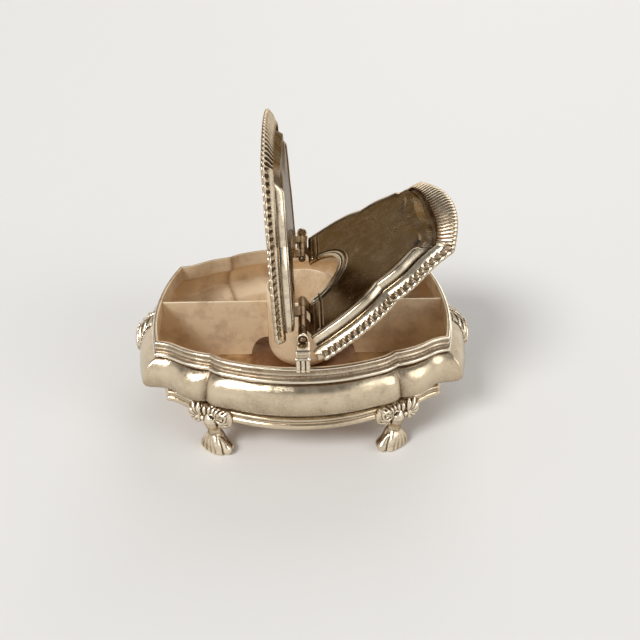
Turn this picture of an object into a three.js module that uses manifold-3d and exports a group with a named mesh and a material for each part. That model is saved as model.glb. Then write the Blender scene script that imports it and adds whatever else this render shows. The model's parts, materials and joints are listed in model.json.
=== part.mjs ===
import * as THREE from 'three';
import { mergeVertices } from 'three/addons/utils/BufferGeometryUtils.js';
import Module from 'manifold-3d';

const wasm = await Module();
wasm.setup();

// A footed spice box: a serpentine bombé body, a fixed beaker in the middle and two lids hinged across it.
// Millimetres and degrees. The ground is z = 0, X runs along the box, -Y is the front.

// Heights and gauges
const rimHeight = 53;
const wallHeight = 34.6;
const sheet = 1.0;
const floorSheet = 0.8;
const dividerSheet = 1.0;
const seam = 0.2;
const mountSeam = 0.4;

// Plan of the rim, a quarter of it: half sizes, then the steps back from the front and in from the end
const halfLength = 73;
const halfWidth = 60.3;
const rimStep = { shoulder: 5.4, cusp: 6.1, waist: 7.4, corner: 3.8, endSwell: 5, waistRun: 10 };
const cuspAcross = 41.4;
const shoulderRun = 10.4;

// A point of a quarter outline has the falling slope of the curve before it and after it. Where the wall
// swells to the full, swing has turned these slopes and push has moved the point towards the end.
function planPoint(x, y, slope, swing = [0, 0], push = 0) {
  return { x, y, slope, swing, push };
}

const shoulderY = halfWidth - rimStep.shoulder;
const cuspY = shoulderY - rimStep.cusp;
const waistY = cuspY - rimStep.waist;
const cornerX = halfLength - rimStep.endSwell;
const rimPlan = {
  front: planPoint(0, halfWidth, [0, 0]),
  shoulder: planPoint(cuspAcross - shoulderRun, shoulderY, [19, 19]),
  cusp: planPoint(cuspAcross, cuspY, [48, 12], [22, -24]),
  waist: planPoint(cornerX - rimStep.waistRun, waistY, [36, 36], [14, 14]),
  corner: planPoint(cornerX, waistY - rimStep.corner, [6, 75], [-10, -4], 2.5),
  end: planPoint(halfLength, 0, [90, 90], [0, 0], 4),
};

// Mouldings
const rimMould = { height: 7.4, lip: 0.9, lipReach: 0.4, cove: 2.6, hollow: 0.2 };
const rimBead = { reach: 1.5, radius: 0.9, foot: 0.7 };
const baseMould = { height: 6, back: 1.3, reach: -0.8, beadRadius: 0.9, rollRadius: 1.75 };

// Bombé wall: a neck behind the rim moulding, a swell, a rounded edge and a tuck down to the base moulding
const wallBack = 0.5;
const mouldLap = 0.3;
const neckDrop = rimMould.height + mouldLap;
const tuckDrop = wallHeight - baseMould.height - mouldLap;
const swell = { reach: 5.9, drop: 19.4, shoulderReach: 5.4, shoulderDrop: 10.6 };
const lowerEdge = { reach: 5.2, drop: 21.8 };
const cornerPull = { moulding: 0.5, foot: 2.2 };

// Beaker
const cup = { radius: 18.2, wall: 0.9, rimRise: 7.9, baseRound: 9, lipRound: 0.4, floorGap: 0.2 };

// Dividers
const divider = { topDrop: 0.9, archWidth: 9.5, archHeight: 11, archLean: 2, archCrown: 0.5 };

// Lids, as seen from above on the closed box
const openLeft = 87;
const openRight = 36.5;
const lidSeatGap = 0.5;
const overRim = (stop, x, y, slope) => planPoint(rimPlan[stop].x + x, rimPlan[stop].y + y, slope);
const lidPlan = {
  front: overRim('front', 0.4, 1.2, [2, 2]),
  shoulder: overRim('shoulder', -1, 2.4, [19, 19]),
  cusp: overRim('cusp', 0.2, 2.1, [42, 6]),
  waist: overRim('waist', -2, 5, [31, 31]),
  corner: overRim('corner', 3.6, 3.8, [8, 68]),
  end: overRim('end', 7.7, 0, [90, 90]),
};
const border = { width: 7.3, endWidth: 9.6, rise: 2.9, edge: 1.2, undercut: 0.4, wire: 0.8, wireRise: 0.4 };
const reed = { pitch: 3.0, steps: 2, crest: 2.6, lobe: 1.0, tail: 0.3, scallop: 0.45 };
const panelDrop = 4.1;
const panelSheet = 0.8;
const cushion = { inset: 13.4, ridgeInset: 11.2, ridgeDrop: 3.7, shoulder: 1, groove: 8.3, grooveDepth: 0.7 };
const collar = { hole: cup.radius + 1.4, width: 6.2 };
const hingeStrip = { start: 1.9, width: 7.5, rise: 0.8 };
const stripShare = { flat: 0.3, groove: 0.05, ledge: 0.62, bead: 0.82 };

// Hinge line and pins
const hingeRise = 12;
const pin = { radius: 0.9, headRadius: 1.2, headHeight: 0.7 };

// Hinge posts: a fluted block on the rim whose rounded top carries an eye with a lug running in behind it
const post = { width: 6.2, thickness: 2.4, proud: 1, height: 7.6, browDrop: 2.2 };
const eye = { radius: 2.5, length: 1.3, setBack: 4.8, recess: 0.4, recessRadius: 1.75 };
const lug = { radius: 1.85, setBack: 13.5 };
const bracket = { width: 2.4, lean: 2, drop: 3.4, rise: 5.4 };
const flute = { count: 3, radius: 1.03, sink: 0.25, top: 6.5, drop: 1 };
const band = { radius: 0.75, level: 7.2 };
const postOuter = halfWidth + post.proud;
const eyeFront = halfWidth - eye.setBack;
const lugBack = halfWidth - lug.setBack;
const barrel = { radius: 1.7, bore: 1.0, gap: 0.3 };
barrel.outer = lugBack - barrel.gap;
barrel.inner = collar.hole + 1.6;

// Feet: a paw, an ankle and a scrolled knee that laps the base moulding, broader on the side of the box's end
const wallFoot = rimHeight - wallHeight;
const kneeLap = 0.6;
const foot = { height: wallFoot + baseMould.height + kneeLap, toeLevel: 2.6, ankleLevel: 10.6 };
const footFacets = { sides: 16, steps: 9 };
const paw = { width: 16.4, back: 2.8, reach: 7.2, toes: 0.7 };
const ankle = { width: 6.4, back: 0.6, reach: 3.6 };
const knee = { inner: 9.4, outer: 12.4, back: 5, reach: 4.2, topShare: 0.62, topReach: 1.2 };

// End ornaments: a leaf that springs out under the rim and hangs in a point
const ornament = {
  width: 17,
  tipWidth: 2.6,
  root: { reach: 0.5, drop: 8.4 },
  crown: { reach: 6.5, drop: 9.5 },
  belly: { reach: 14.5, drop: 18 },
  tip: { reach: 12.2, drop: 29 },
  proud: { root: 2, tip: 0.9 },
  back: { root: 3.6, tip: 0.7 },
  lobes: 3,
  lobeDepth: 0.12,
  curl: { from: 0.58, to: 0.86, rise: 1.5 },
  sides: 12,
  steps: 11,
};

// Finish
const silver = { color: 0xd9cdb8, metalness: 1, roughness: 0.28 };
const wornSilver = { color: 0xc4b290, metalness: 0.9, roughness: 0.5 };
const castSilver = { color: 0xcfc0a2, metalness: 1, roughness: 0.36 };

const radians = THREE.MathUtils.degToRad;

// A point of a quarter outline moved outwards along its mitre and pushed out by its share of the full swell
function mitred(key, out, fullness) {
  const [inSlope, outSlope] = key.slope.map(radians);
  const nx = Math.sin(inSlope) + Math.sin(outSlope);
  const ny = Math.cos(inSlope) + Math.cos(outSlope);
  const spread = 1 + Math.cos(inSlope - outSlope);
  return new THREE.Vector2(key.x + (out * nx) / spread + key.push * fullness, key.y + (out * ny) / spread);
}

// The curve between two neighbouring points of a quarter outline
const stops = ['front', 'shoulder', 'cusp', 'waist', 'corner', 'end'];
const spans = stops.slice(1).map((stop, index) => [stops[index], stop]);
const handleShare = 0.36;

function spanCurve(plan, span, out, { fullness = 0, cornerMove = 0, endMove = 0 } = {}) {
  const [fromName, toName] = spans[span];
  const from = mitred(plan[fromName], out, fullness);
  const to = mitred(plan[toName], out, fullness);
  if (fromName === 'corner') from.x += cornerMove;
  if (toName === 'corner') to.x += cornerMove;
  if (toName === 'end') to.x += endMove;
  const handle = handleShare * from.distanceTo(to);
  const leave = radians(plan[fromName].slope[1] + plan[fromName].swing[1] * fullness);
  const arrive = radians(plan[toName].slope[0] + plan[toName].swing[0] * fullness);
  const first = new THREE.Vector2(from.x + handle * Math.cos(leave), from.y - handle * Math.sin(leave));
  const second = new THREE.Vector2(to.x - handle * Math.cos(arrive), to.y + handle * Math.sin(arrive));
  return new THREE.CubicBezierCurve(from, first, second, to);
}

// Stations along a quarter outline, as span number and share of that span
const ringSteps = [3, 2, 3, 2, 4];
const quarterStations = [];
ringSteps.forEach((count, span) => {
  for (let step = 0; step < count; step += 1) quarterStations.push([span, step / count]);
});
quarterStations.push([spans.length - 1, 1]);

// All stations round a closed outline, anticlockwise from the right end, with the signs of their quarter
function fullStations() {
  const towardsEnd = quarterStations;
  const towardsFront = [...quarterStations].reverse();
  const quarters = [
    [towardsFront, 1, 1],
    [towardsEnd, -1, 1],
    [towardsFront, -1, -1],
    [towardsEnd, 1, -1],
  ];
  return quarters.flatMap(([list, sx, sy]) => {
    return list.slice(0, -1).map(([span, share]) => ({ span, share, sx, sy }));
  });
}

function outlinePoint(plan, station, out, moves) {
  const point = spanCurve(plan, station.span, out, moves).getPoint(station.share);
  return new THREE.Vector2(point.x * station.sx, point.y * station.sy);
}

// A closed body through rings of equal length, either capped at both ends or joined end to end
function loft(rings, closed = false) {
  const size = rings[0].length;
  const vertices = rings.flat().flatMap((point) => [point.x, point.y, point.z]);
  const faces = [];
  const last = closed ? rings.length : rings.length - 1;
  for (let ring = 0; ring < last; ring += 1) {
    const next = (ring + 1) % rings.length;
    for (let side = 0; side < size; side += 1) {
      const beside = (side + 1) % size;
      faces.push(ring * size + side, ring * size + beside, next * size + beside);
      faces.push(ring * size + side, next * size + beside, next * size + side);
    }
  }
  if (!closed) {
    const cap = capFaces(rings[0]);
    cap.forEach(([a, b, c]) => faces.push(a, c, b));
    const shift = (rings.length - 1) * size;
    capFaces(rings[rings.length - 1]).forEach(([a, b, c]) => faces.push(a + shift, b + shift, c + shift));
  }
  return bodyFrom(vertices, faces);
}

// Triangles that fill a flat ring, in the ring's own turning direction
function capFaces(ring) {
  const normal = new THREE.Vector3();
  ring.forEach((point, index) => {
    const next = ring[(index + 1) % ring.length];
    normal.add(new THREE.Vector3().crossVectors(point, next));
  });
  normal.normalize();
  const across = new THREE.Vector3().subVectors(ring[1], ring[0]).normalize();
  const along = new THREE.Vector3().crossVectors(normal, across).normalize();
  const side = new THREE.Vector3().crossVectors(along, normal);
  const flat = ring.map((point) => new THREE.Vector2(point.dot(side), point.dot(along)));
  return THREE.ShapeUtils.triangulateShape(flat, []);
}

function bodyFrom(vertices, faces) {
  const geometry = new THREE.BufferGeometry();
  geometry.setAttribute('position', new THREE.Float32BufferAttribute(vertices, 3));
  geometry.setIndex(faces);
  if (signedVolume(geometry) < 0) {
    for (let i = 0; i < faces.length; i += 3) {
      [faces[i + 1], faces[i + 2]] = [faces[i + 2], faces[i + 1]];
    }
    geometry.setIndex(faces);
  }
  return geometry;
}

function signedVolume(geometry) {
  const position = geometry.getAttribute('position');
  const index = geometry.getIndex();
  const corner = [0, 1, 2].map(() => new THREE.Vector3());
  let total = 0;
  for (let i = 0; i < index.count; i += 3) {
    corner.forEach((point, k) => point.fromBufferAttribute(position, index.getX(i + k)));
    total += corner[0].dot(new THREE.Vector3().crossVectors(corner[1], corner[2]));
  }
  return total / 6;
}

// Cutting and joining
function solidOf(geometry) {
  const bare = geometry.clone();
  bare.deleteAttribute('normal');
  bare.deleteAttribute('uv');
  const merged = mergeVertices(bare, 1e-4);
  return new wasm.Manifold(new wasm.Mesh({
    numProp: 3,
    vertProperties: new Float32Array(merged.getAttribute('position').array),
    triVerts: new Uint32Array(merged.getIndex().array),
  }));
}

function geometryOf(solid) {
  const mesh = solid.getMesh();
  const geometry = new THREE.BufferGeometry();
  geometry.setAttribute('position', new THREE.Float32BufferAttribute(mesh.vertProperties, 3));
  geometry.setIndex(Array.from(mesh.triVerts));
  return geometry;
}

function join(...geometries) {
  return geometryOf(geometries.map(solidOf).reduce((sum, piece) => sum.add(piece)));
}

function cut(geometry, ...tools) {
  return geometryOf(tools.map(solidOf).reduce((rest, tool) => rest.subtract(tool), solidOf(geometry)));
}

// A straight bar of an outline drawn in Y and Z, centred on X = 0
function barAcross(shape, width) {
  const geometry = new THREE.ExtrudeGeometry(shape, { depth: width, bevelEnabled: false, curveSegments: 8 });
  geometry.translate(0, 0, -width / 2);
  geometry.applyMatrix4(new THREE.Matrix4().makeBasis(
    new THREE.Vector3(0, 1, 0),
    new THREE.Vector3(0, 0, 1),
    new THREE.Vector3(1, 0, 0),
  ));
  return geometry;
}

// A round bar along Y between two places
function rodAlong(radius, from, to, sides = 20) {
  const geometry = new THREE.CylinderGeometry(radius, radius, Math.abs(to - from), sides);
  geometry.translate(0, (from + to) / 2, 0);
  return geometry;
}

// A point of the body, by its reach beyond the rim outline and its height from the rim. The corners are drawn
// in at the mouldings and at the foot of the wall.
function rimPoint(station, { x: reach, y: height, fullness = 0 }, gap = 0) {
  const tuck = THREE.MathUtils.clamp((-height - swell.drop) / (tuckDrop - swell.drop), 0, 1);
  const inMoulding = height > -neckDrop ? Math.max(0, reach) : 0;
  const cornerMove = -cornerPull.moulding * inMoulding - cornerPull.foot * tuck;
  return outlinePoint(rimPlan, station, reach + gap, { fullness, cornerMove });
}

// A wire or wall that follows the whole outline, its section given as points of reach and height from the rim
function sweepOutline(section) {
  const rings = fullStations().map((station) => section.map((place) => {
    const point = rimPoint(station, place);
    return new THREE.Vector3(point.x, point.y, rimHeight + place.y);
  }));
  return loft(rings, true);
}

// Outer face of the wall from the rim to the foot: reach beyond the rim outline and height from the rim. Each
// point has its share of the full swell.
function wallFace() {
  const footReach = -baseMould.back - seam;
  const face = new THREE.Path();
  face.moveTo(-wallBack, 0);
  face.lineTo(-wallBack, -neckDrop);
  face.quadraticCurveTo(swell.shoulderReach, -swell.shoulderDrop, swell.reach, -swell.drop);
  face.lineTo(lowerEdge.reach, -lowerEdge.drop);
  face.lineTo(footReach, -tuckDrop);
  face.lineTo(footReach, -wallHeight);
  const points = face.getPoints(3);
  points.forEach((point) => {
    point.fullness = Math.max(0, point.x / swell.reach);
  });
  return points;
}

// The same run of points moved sideways by the gauge of the sheet
function offsetRun(points, distance) {
  return points.map((point, index) => {
    const before = points[Math.max(index - 1, 0)];
    const after = points[Math.min(index + 1, points.length - 1)];
    const first = new THREE.Vector2().subVectors(point, before);
    const second = new THREE.Vector2().subVectors(after, point);
    const direction = first.normalize().add(second.normalize()).normalize();
    const moved = new THREE.Vector2(point.x + direction.y * distance, point.y - direction.x * distance);
    moved.fullness = point.fullness;
    return moved;
  });
}

function bodyShell() {
  const outer = wallFace();
  const inner = offsetRun(outer, sheet);
  return sweepOutline([...outer, ...inner.reverse()]);
}

// Stepped wire round the rim: a thin lip, a hollow and a bead
function rimMoulding() {
  const back = seam - wallBack;
  const { lip, lipReach, cove, hollow, height } = rimMould;
  const beadDrop = height - rimBead.radius - rimBead.foot;
  const section = new THREE.Path();
  section.moveTo(back, 0);
  section.lineTo(lipReach, 0);
  section.lineTo(lipReach, -lip);
  section.quadraticCurveTo(-hollow, -lip - cove, rimBead.reach, rimBead.radius - beadDrop);
  section.absarc(rimBead.reach, -beadDrop, rimBead.radius, Math.PI / 2, -Math.PI / 2, true);
  section.lineTo(back, -height);
  return sweepOutline(section.getPoints(2));
}

// Two-bead wire round the foot of the wall
function baseMoulding() {
  const { height, reach, beadRadius, rollRadius, back } = baseMould;
  const top = height - wallHeight;
  const section = new THREE.Path();
  section.moveTo(-back, top);
  section.lineTo(reach, top);
  section.lineTo(reach + beadRadius, top - beadRadius);
  section.lineTo(reach, top - 2 * beadRadius);
  section.absarc(reach, rollRadius - wallHeight, rollRadius, Math.PI / 2, -Math.PI / 2, true);
  section.lineTo(-back, -wallHeight);
  return sweepOutline(section.getPoints(2));
}

// Flat sheet inside the foot of the wall
const floorTop = wallFoot + floorSheet;

function floorPlate() {
  const reach = -baseMould.back - sheet - 2 * seam;
  const outline = fullStations().map((station) => rimPoint(station, { x: reach, y: -wallHeight }));
  const level = (z) => outline.map((point) => new THREE.Vector3(point.x, point.y, z));
  return loft([level(wallFoot), level(floorTop)]);
}

// Beaker with a rounded bottom and a rounded lip
function centreCup() {
  const bottom = floorTop + cup.floorGap;
  const top = rimHeight + cup.rimRise;
  const { radius, wall, baseRound, lipRound } = cup;
  const profile = new THREE.Path();
  profile.moveTo(0, bottom);
  profile.lineTo(radius - baseRound, bottom);
  profile.absarc(radius - baseRound, bottom + baseRound, baseRound, -Math.PI / 2, 0, false);
  profile.lineTo(radius, top - lipRound);
  profile.lineTo(radius - wall / 2, top);
  profile.lineTo(radius - wall, top - lipRound);
  profile.lineTo(radius - wall, bottom + baseRound);
  profile.absarc(radius - baseRound, bottom + baseRound, baseRound - wall, 0, -Math.PI / 2, true);
  profile.lineTo(0, bottom + wall);
  const geometry = new THREE.LatheGeometry(profile.getPoints(2), 24);
  geometry.rotateX(Math.PI / 2);
  return geometry;
}

// Upright sheet from the beaker to the right end, shaped to the wall and arched beside the beaker
function dividerPlate() {
  const bottom = floorTop + seam;
  const top = rimHeight - divider.topDrop;
  const inside = cup.radius + seam;
  const archStart = inside + divider.archWidth;
  const archTop = bottom + divider.archHeight;
  const wallRun = offsetRun(wallFace(), sheet + seam).slice(1, -1).reverse();
  const outer = wallRun.map(({ x, y, fullness }) => {
    return new THREE.Vector2(rimPlan.end.x + x + rimPlan.end.push * fullness, rimHeight + y);
  });
  const shape = new THREE.Shape();
  shape.moveTo(archStart, bottom);
  shape.lineTo(outer[0].x, bottom);
  outer.forEach((point) => shape.lineTo(point.x, point.y));
  shape.lineTo(outer[outer.length - 1].x, top);
  shape.lineTo(inside, top);
  shape.lineTo(inside, archTop);
  shape.quadraticCurveTo(archStart - divider.archLean, archTop + divider.archCrown, archStart, bottom);
  const geometry = new THREE.ExtrudeGeometry(shape, {
    depth: dividerSheet,
    bevelEnabled: false,
    curveSegments: 6,
  });
  geometry.translate(0, 0, -dividerSheet / 2);
  geometry.rotateX(Math.PI / 2);
  return geometry;
}

// A value of the foot at the ground, toe, ankle, knee and top, eased from one to the next
function footProfile(...values) {
  const levels = [0, foot.toeLevel, foot.ankleLevel, wallFoot, foot.height];
  return new THREE.SplineCurve(values.map((value, index) => new THREE.Vector2(value, levels[index])));
}

// Cast foot: +X runs towards the end of the box, +Y outwards
function castFoot() {
  const { toes } = paw;
  const half = { paw: paw.width / 2, ankle: ankle.width / 2 };
  const inner = footProfile(half.paw - toes, half.paw, half.ankle, knee.inner, knee.inner * knee.topShare);
  const outer = footProfile(half.paw - toes, half.paw, half.ankle, knee.outer, knee.outer * knee.topShare);
  const back = footProfile(paw.back - toes, paw.back, ankle.back, knee.back, knee.back);
  const front = footProfile(paw.reach - toes, paw.reach, ankle.reach, knee.reach, knee.topReach);
  const rings = [];
  for (let step = 0; step <= footFacets.steps; step += 1) {
    const share = step / footFacets.steps;
    const height = front.getPoint(share).y;
    const toeShare = Math.max(0, 1 - height / foot.ankleLevel);
    const ring = [];
    for (let side = 0; side < footFacets.sides; side += 1) {
      const angle = (side / footFacets.sides) * Math.PI * 2;
      const c = Math.cos(angle);
      const s = Math.sin(angle);
      const across = (c > 0 ? outer : inner).getPoint(share).x;
      const reach = (s > 0 ? front : back).getPoint(share).x;
      const toe = s > 0 && side % 2 === 0 ? toes * toeShare : 0;
      ring.push(new THREE.Vector3(
        across * Math.sign(c) * Math.sqrt(Math.abs(c)),
        (reach - toe) * Math.sign(s) * Math.sqrt(Math.abs(s)),
        height,
      ));
    }
    rings.push(ring);
  }
  return loft(rings);
}

// The room that the body and its mouldings take, grown by a gap, to seat what hugs them
function bodyRoom(gap) {
  const rollFace = baseMould.reach + baseMould.rollRadius;
  const rollTop = 2 * baseMould.rollRadius - wallHeight;
  const beadFace = baseMould.reach + baseMould.beadRadius;
  const rimFace = rimBead.reach + rimBead.radius;
  const levels = [
    new THREE.Vector2(rollFace, -wallHeight - gap),
    new THREE.Vector2(rollFace, rollTop),
    new THREE.Vector2(beadFace, rollTop + baseMould.beadRadius),
    new THREE.Vector2(beadFace, -tuckDrop - gap),
    ...wallFace().slice(2, -2).reverse(),
    new THREE.Vector2(rimFace, -rimMould.height),
    new THREE.Vector2(rimFace, -rimMould.lip - rimMould.cove),
    new THREE.Vector2(rimMould.lipReach, -rimMould.lip),
    new THREE.Vector2(rimMould.lipReach, gap),
  ];
  const rings = levels.map((place) => fullStations().map((station) => {
    const point = rimPoint(station, place, gap);
    return new THREE.Vector3(point.x, point.y, rimHeight + place.y);
  }));
  return loft(rings);
}

// Cast leaf that lies on the wall under the rim, curls outwards and hangs in a point
function castOrnament() {
  const { root, crown, belly, tip, width, tipWidth, proud, back, curl, sides, steps } = ornament;
  const place = ({ reach, drop }) => new THREE.Vector2(rimPlan.end.x + reach, rimHeight - drop);
  const spine = new THREE.CubicBezierCurve(place(root), place(crown), place(belly), place(tip));
  const rings = [];
  for (let step = 0; step <= steps; step += 1) {
    const share = step / steps;
    const centre = spine.getPoint(share);
    const direction = spine.getTangent(share);
    const scallop = 1 + ornament.lobeDepth * Math.cos(share * Math.PI * 2 * ornament.lobes);
    const halfSpread = (THREE.MathUtils.lerp(width, tipWidth, share ** 3) / 2) * scallop;
    const along = THREE.MathUtils.clamp((share - curl.from) / (curl.to - curl.from), 0, 1);
    const rise = curl.rise * Math.sin(Math.PI * along);
    const outward = THREE.MathUtils.lerp(proud.root, proud.tip, share ** 2) + rise;
    const inward = THREE.MathUtils.lerp(back.root, back.tip, share ** 4);
    const ring = [];
    for (let side = 0; side < sides; side += 1) {
      const angle = (side / sides) * Math.PI * 2;
      const out = Math.cos(angle) * (Math.cos(angle) > 0 ? outward : inward);
      ring.push(new THREE.Vector3(
        centre.x - direction.y * out,
        halfSpread * Math.sin(angle),
        centre.y + direction.x * out,
      ));
    }
    rings.push(ring);
  }
  return loft(rings);
}

// Hinge post at the front: a fluted block on the rim with a rounded top, an eye for the pin and a lug behind
function hingePost() {
  const { width, thickness, height, browDrop } = post;
  const back = postOuter - thickness;
  const eyeBack = eyeFront - eye.length;
  const eyeLevel = hingeRise - eye.radius;
  const side = new THREE.Shape();
  side.moveTo(-postOuter, seam);
  side.lineTo(-back, seam);
  side.lineTo(-back, height - eye.length);
  side.lineTo(-eyeBack, eyeLevel - eye.length);
  side.lineTo(-eyeBack, eyeLevel + eye.recess);
  side.lineTo(-eyeFront, eyeLevel + eye.recess);
  side.quadraticCurveTo(-postOuter, eyeLevel - browDrop / 2, -postOuter, eyeLevel - browDrop);
  const brace = new THREE.Shape();
  brace.moveTo(-back, bracket.rise);
  brace.lineTo(-lugBack - bracket.lean, hingeRise - bracket.drop / 2);
  brace.lineTo(-lugBack - bracket.lean, hingeRise);
  brace.lineTo(-eyeBack, hingeRise);
  brace.lineTo(-back, hingeRise - bracket.drop);
  const onAxis = (rod) => rod.translate(0, 0, hingeRise);
  const pieces = [
    barAcross(side, width),
    barAcross(brace, bracket.width),
    onAxis(rodAlong(eye.radius, -eyeFront, -eyeBack, 18)),
    onAxis(rodAlong(lug.radius, -eyeFront, -lugBack, 14)),
  ];
  const fluteHeight = flute.top + flute.drop;
  for (let index = 0; index < flute.count; index += 1) {
    const place = (2 * index) / (flute.count - 1) - 1;
    const round = new THREE.CylinderGeometry(flute.radius, flute.radius, fluteHeight, 8);
    round.rotateX(Math.PI / 2);
    round.translate(place * (width / 2 - flute.radius), flute.sink - postOuter, fluteHeight / 2 - flute.drop);
    pieces.push(round);
  }
  const roll = new THREE.CylinderGeometry(band.radius, band.radius, width, 8);
  roll.rotateZ(Math.PI / 2);
  roll.translate(0, -postOuter, band.level);
  pieces.push(roll);
  const rimFront = halfWidth + rimMould.lipReach + seam;
  const rimRoom = new THREE.BoxGeometry(width + thickness, thickness, 2 * thickness);
  rimRoom.translate(0, thickness / 2 - rimFront, seam - thickness);
  const bore = onAxis(rodAlong(barrel.bore, -eyeFront - eye.length, -lugBack + eye.length, 12));
  const recess = onAxis(rodAlong(eye.recessRadius, -eyeFront - eye.length, eye.recess - eyeFront, 16));
  const geometry = cut(join(...pieces), bore, recess, rimRoom);
  geometry.translate(0, 0, rimHeight);
  return geometry;
}

// Headed pin at the front
function hingePin() {
  const headBack = eyeFront - eye.recess + seam;
  const tip = barrel.inner - barrel.gap;
  const headFront = headBack + pin.headHeight;
  const profile = new THREE.Path();
  profile.moveTo(0, -tip);
  profile.lineTo(pin.radius, -tip);
  profile.lineTo(pin.radius, -headBack);
  profile.lineTo(pin.headRadius, -headBack);
  profile.quadraticCurveTo(pin.headRadius, -headFront, 0, -headFront);
  const geometry = new THREE.LatheGeometry(profile.getPoints(3), 12);
  geometry.translate(0, 0, rimHeight + hingeRise);
  return orient(geometry);
}

// Turns a body's faces outwards
function orient(geometry) {
  const bare = geometry.clone();
  bare.deleteAttribute('normal');
  bare.deleteAttribute('uv');
  const merged = mergeVertices(bare, 1e-4);
  return bodyFrom(Array.from(merged.getAttribute('position').array), Array.from(merged.getIndex().array));
}

// Lid frame: the hinge axis is Y through the origin, the lid runs along +X, its top faces +Z when closed
const borderBottom = lidSeatGap - hingeRise;
const borderEdgeTop = borderBottom + border.edge;
const wireTop = borderEdgeTop + border.rise;
const endExtra = border.width - border.endWidth;

function lidPoint(station, inset) {
  return outlinePoint(lidPlan, station, -inset, { endMove: endExtra * (inset / border.width) ** 2 });
}

// Stations along a quarter lid at equal steps of a run of spans, so that each run holds whole reeds
function reedStations(firstSpan, lastSpan) {
  const fine = 40;
  const samples = [];
  for (let span = firstSpan; span <= lastSpan; span += 1) {
    for (let step = span === firstSpan ? 0 : 1; step <= fine; step += 1) {
      const station = { span, share: step / fine, sx: 1, sy: 1 };
      samples.push({ span, share: step / fine, point: lidPoint(station, border.width / 2), length: 0 });
    }
  }
  for (let i = 1; i < samples.length; i += 1) {
    samples[i].length = samples[i - 1].length + samples[i].point.distanceTo(samples[i - 1].point);
  }
  const total = samples[samples.length - 1].length;
  const count = Math.round(total / reed.pitch) * reed.steps;
  const stations = [];
  for (let step = 0; step < count; step += 1) {
    const wanted = (total * step) / count;
    const above = Math.max(1, samples.findIndex((sample) => sample.length > wanted));
    const low = samples[above - 1];
    const high = samples[above];
    const share = (wanted - low.length) / (high.length - low.length);
    const startShare = low.span === high.span ? low.share : 0;
    stations.push({
      span: high.span,
      share: THREE.MathUtils.lerp(startShare, high.share, share),
      phase: (step % reed.steps) / reed.steps,
    });
  }
  return stations;
}

// Gadrooned mount: a row of convex reeds with a scalloped edge and a smooth wire along the inside
function gadroonBorder() {
  const quarter = [...reedStations(0, 1), ...reedStations(2, 3), ...reedStations(4, 4)];
  const end = { span: spans.length - 1, share: 1, phase: 0, sx: 1, sy: 1 };
  const front = quarter.map((station) => ({ ...station, sx: 1, sy: -1 }));
  const rear = quarter.map((station) => ({ ...station, sx: 1, sy: 1 })).reverse();
  const { width, edge, rise, undercut, wire, wireRise } = border;
  const top = (inset) => borderEdgeTop + (rise * inset) / width;
  const rings = [...front, end, ...rear].map((station) => {
    const crown = Math.sin(Math.PI * station.phase);
    const section = [
      [undercut, borderBottom],
      [-reed.scallop * crown, borderEdgeTop],
      [reed.crest, top(reed.crest) + reed.lobe * crown],
      [width - wire, top(width - wire) + reed.tail * crown],
      [width, wireTop + wireRise],
      [width, wireTop - edge],
    ];
    return section.map(([inset, z]) => {
      const point = lidPoint(station, inset);
      return new THREE.Vector3(point.x, point.y, z);
    });
  });
  return cut(loft(rings), postSlot(-1), postSlot(1));
}

// Room in the end of the gadrooned mount for the foot of a hinge post
function postSlot(side) {
  const room = mountSeam + postOuter;
  const slot = new THREE.BoxGeometry(post.width + 2 * mountSeam, room, hingeRise);
  slot.translate(0, side * (postOuter - post.thickness - mountSeam + room / 2), borderBottom);
  return slot;
}

// Stepped moulding along the hinge edge and round the cut-out: a broad flat, a lower ledge and a thin bead
function stripProfile(width) {
  const flat = stripShare.flat * width;
  const groove = stripShare.groove * width;
  const ledge = stripShare.ledge * width;
  const bead = stripShare.bead * width;
  const profile = new THREE.Path();
  profile.moveTo(0, hingeStrip.rise);
  profile.lineTo(flat, hingeStrip.rise);
  profile.lineTo(flat + groove, 0);
  profile.lineTo(flat + 2 * groove, hingeStrip.rise / 2);
  profile.lineTo(ledge, hingeStrip.rise / 2);
  profile.lineTo(ledge + groove, 0);
  profile.lineTo(bead, hingeStrip.rise / 2);
  profile.lineTo(width, 0);
  return profile.getPoints();
}

// Lines across the lid sheet: some run along the hinge edge, the others swing round the cut-out
const swingStart = 0.55;
const swingSteps = [2, 1, 2, 2, 3];

function panelLines() {
  const straight = stripProfile(hingeStrip.width).map(({ x, y }) => ({ x: hingeStrip.start + x, rise: y }));
  const swing = swingSteps.flatMap((count, span) => {
    const from = span === 0 ? swingStart : 0;
    return Array.from({ length: count }, (none, step) => ({
      span,
      share: THREE.MathUtils.lerp(from, 1, step / count),
      rise: 0,
    }));
  });
  const firstTurn = Math.asin(straight[straight.length - 1].x / collar.hole);
  swing.forEach((line, index) => {
    line.turn = THREE.MathUtils.lerp(firstTurn, Math.PI / 2, (index + 1) / (swing.length + 1));
  });
  const quarter = [...straight, ...swing];
  const side = (sy) => quarter.map((line) => ({ ...line, sy }));
  const middle = { span: spans.length - 1, share: 1, turn: Math.PI / 2, rise: 0, sy: 1 };
  return [...side(-1), middle, ...side(1).reverse()];
}

// Where a line of the lid sheet meets the outline moved inwards
function lineOutside(line, inset) {
  if (line.x === undefined) return lidPoint({ ...line, sx: 1 }, inset);
  const along = (share) => lidPoint({ span: 0, share, sx: 1, sy: line.sy }, inset);
  let low = 0;
  let high = 1;
  for (let i = 0; i < 30; i += 1) {
    const middle = (low + high) / 2;
    if (along(middle).x < line.x) low = middle;
    else high = middle;
  }
  return new THREE.Vector2(line.x, along(low).y);
}

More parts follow.
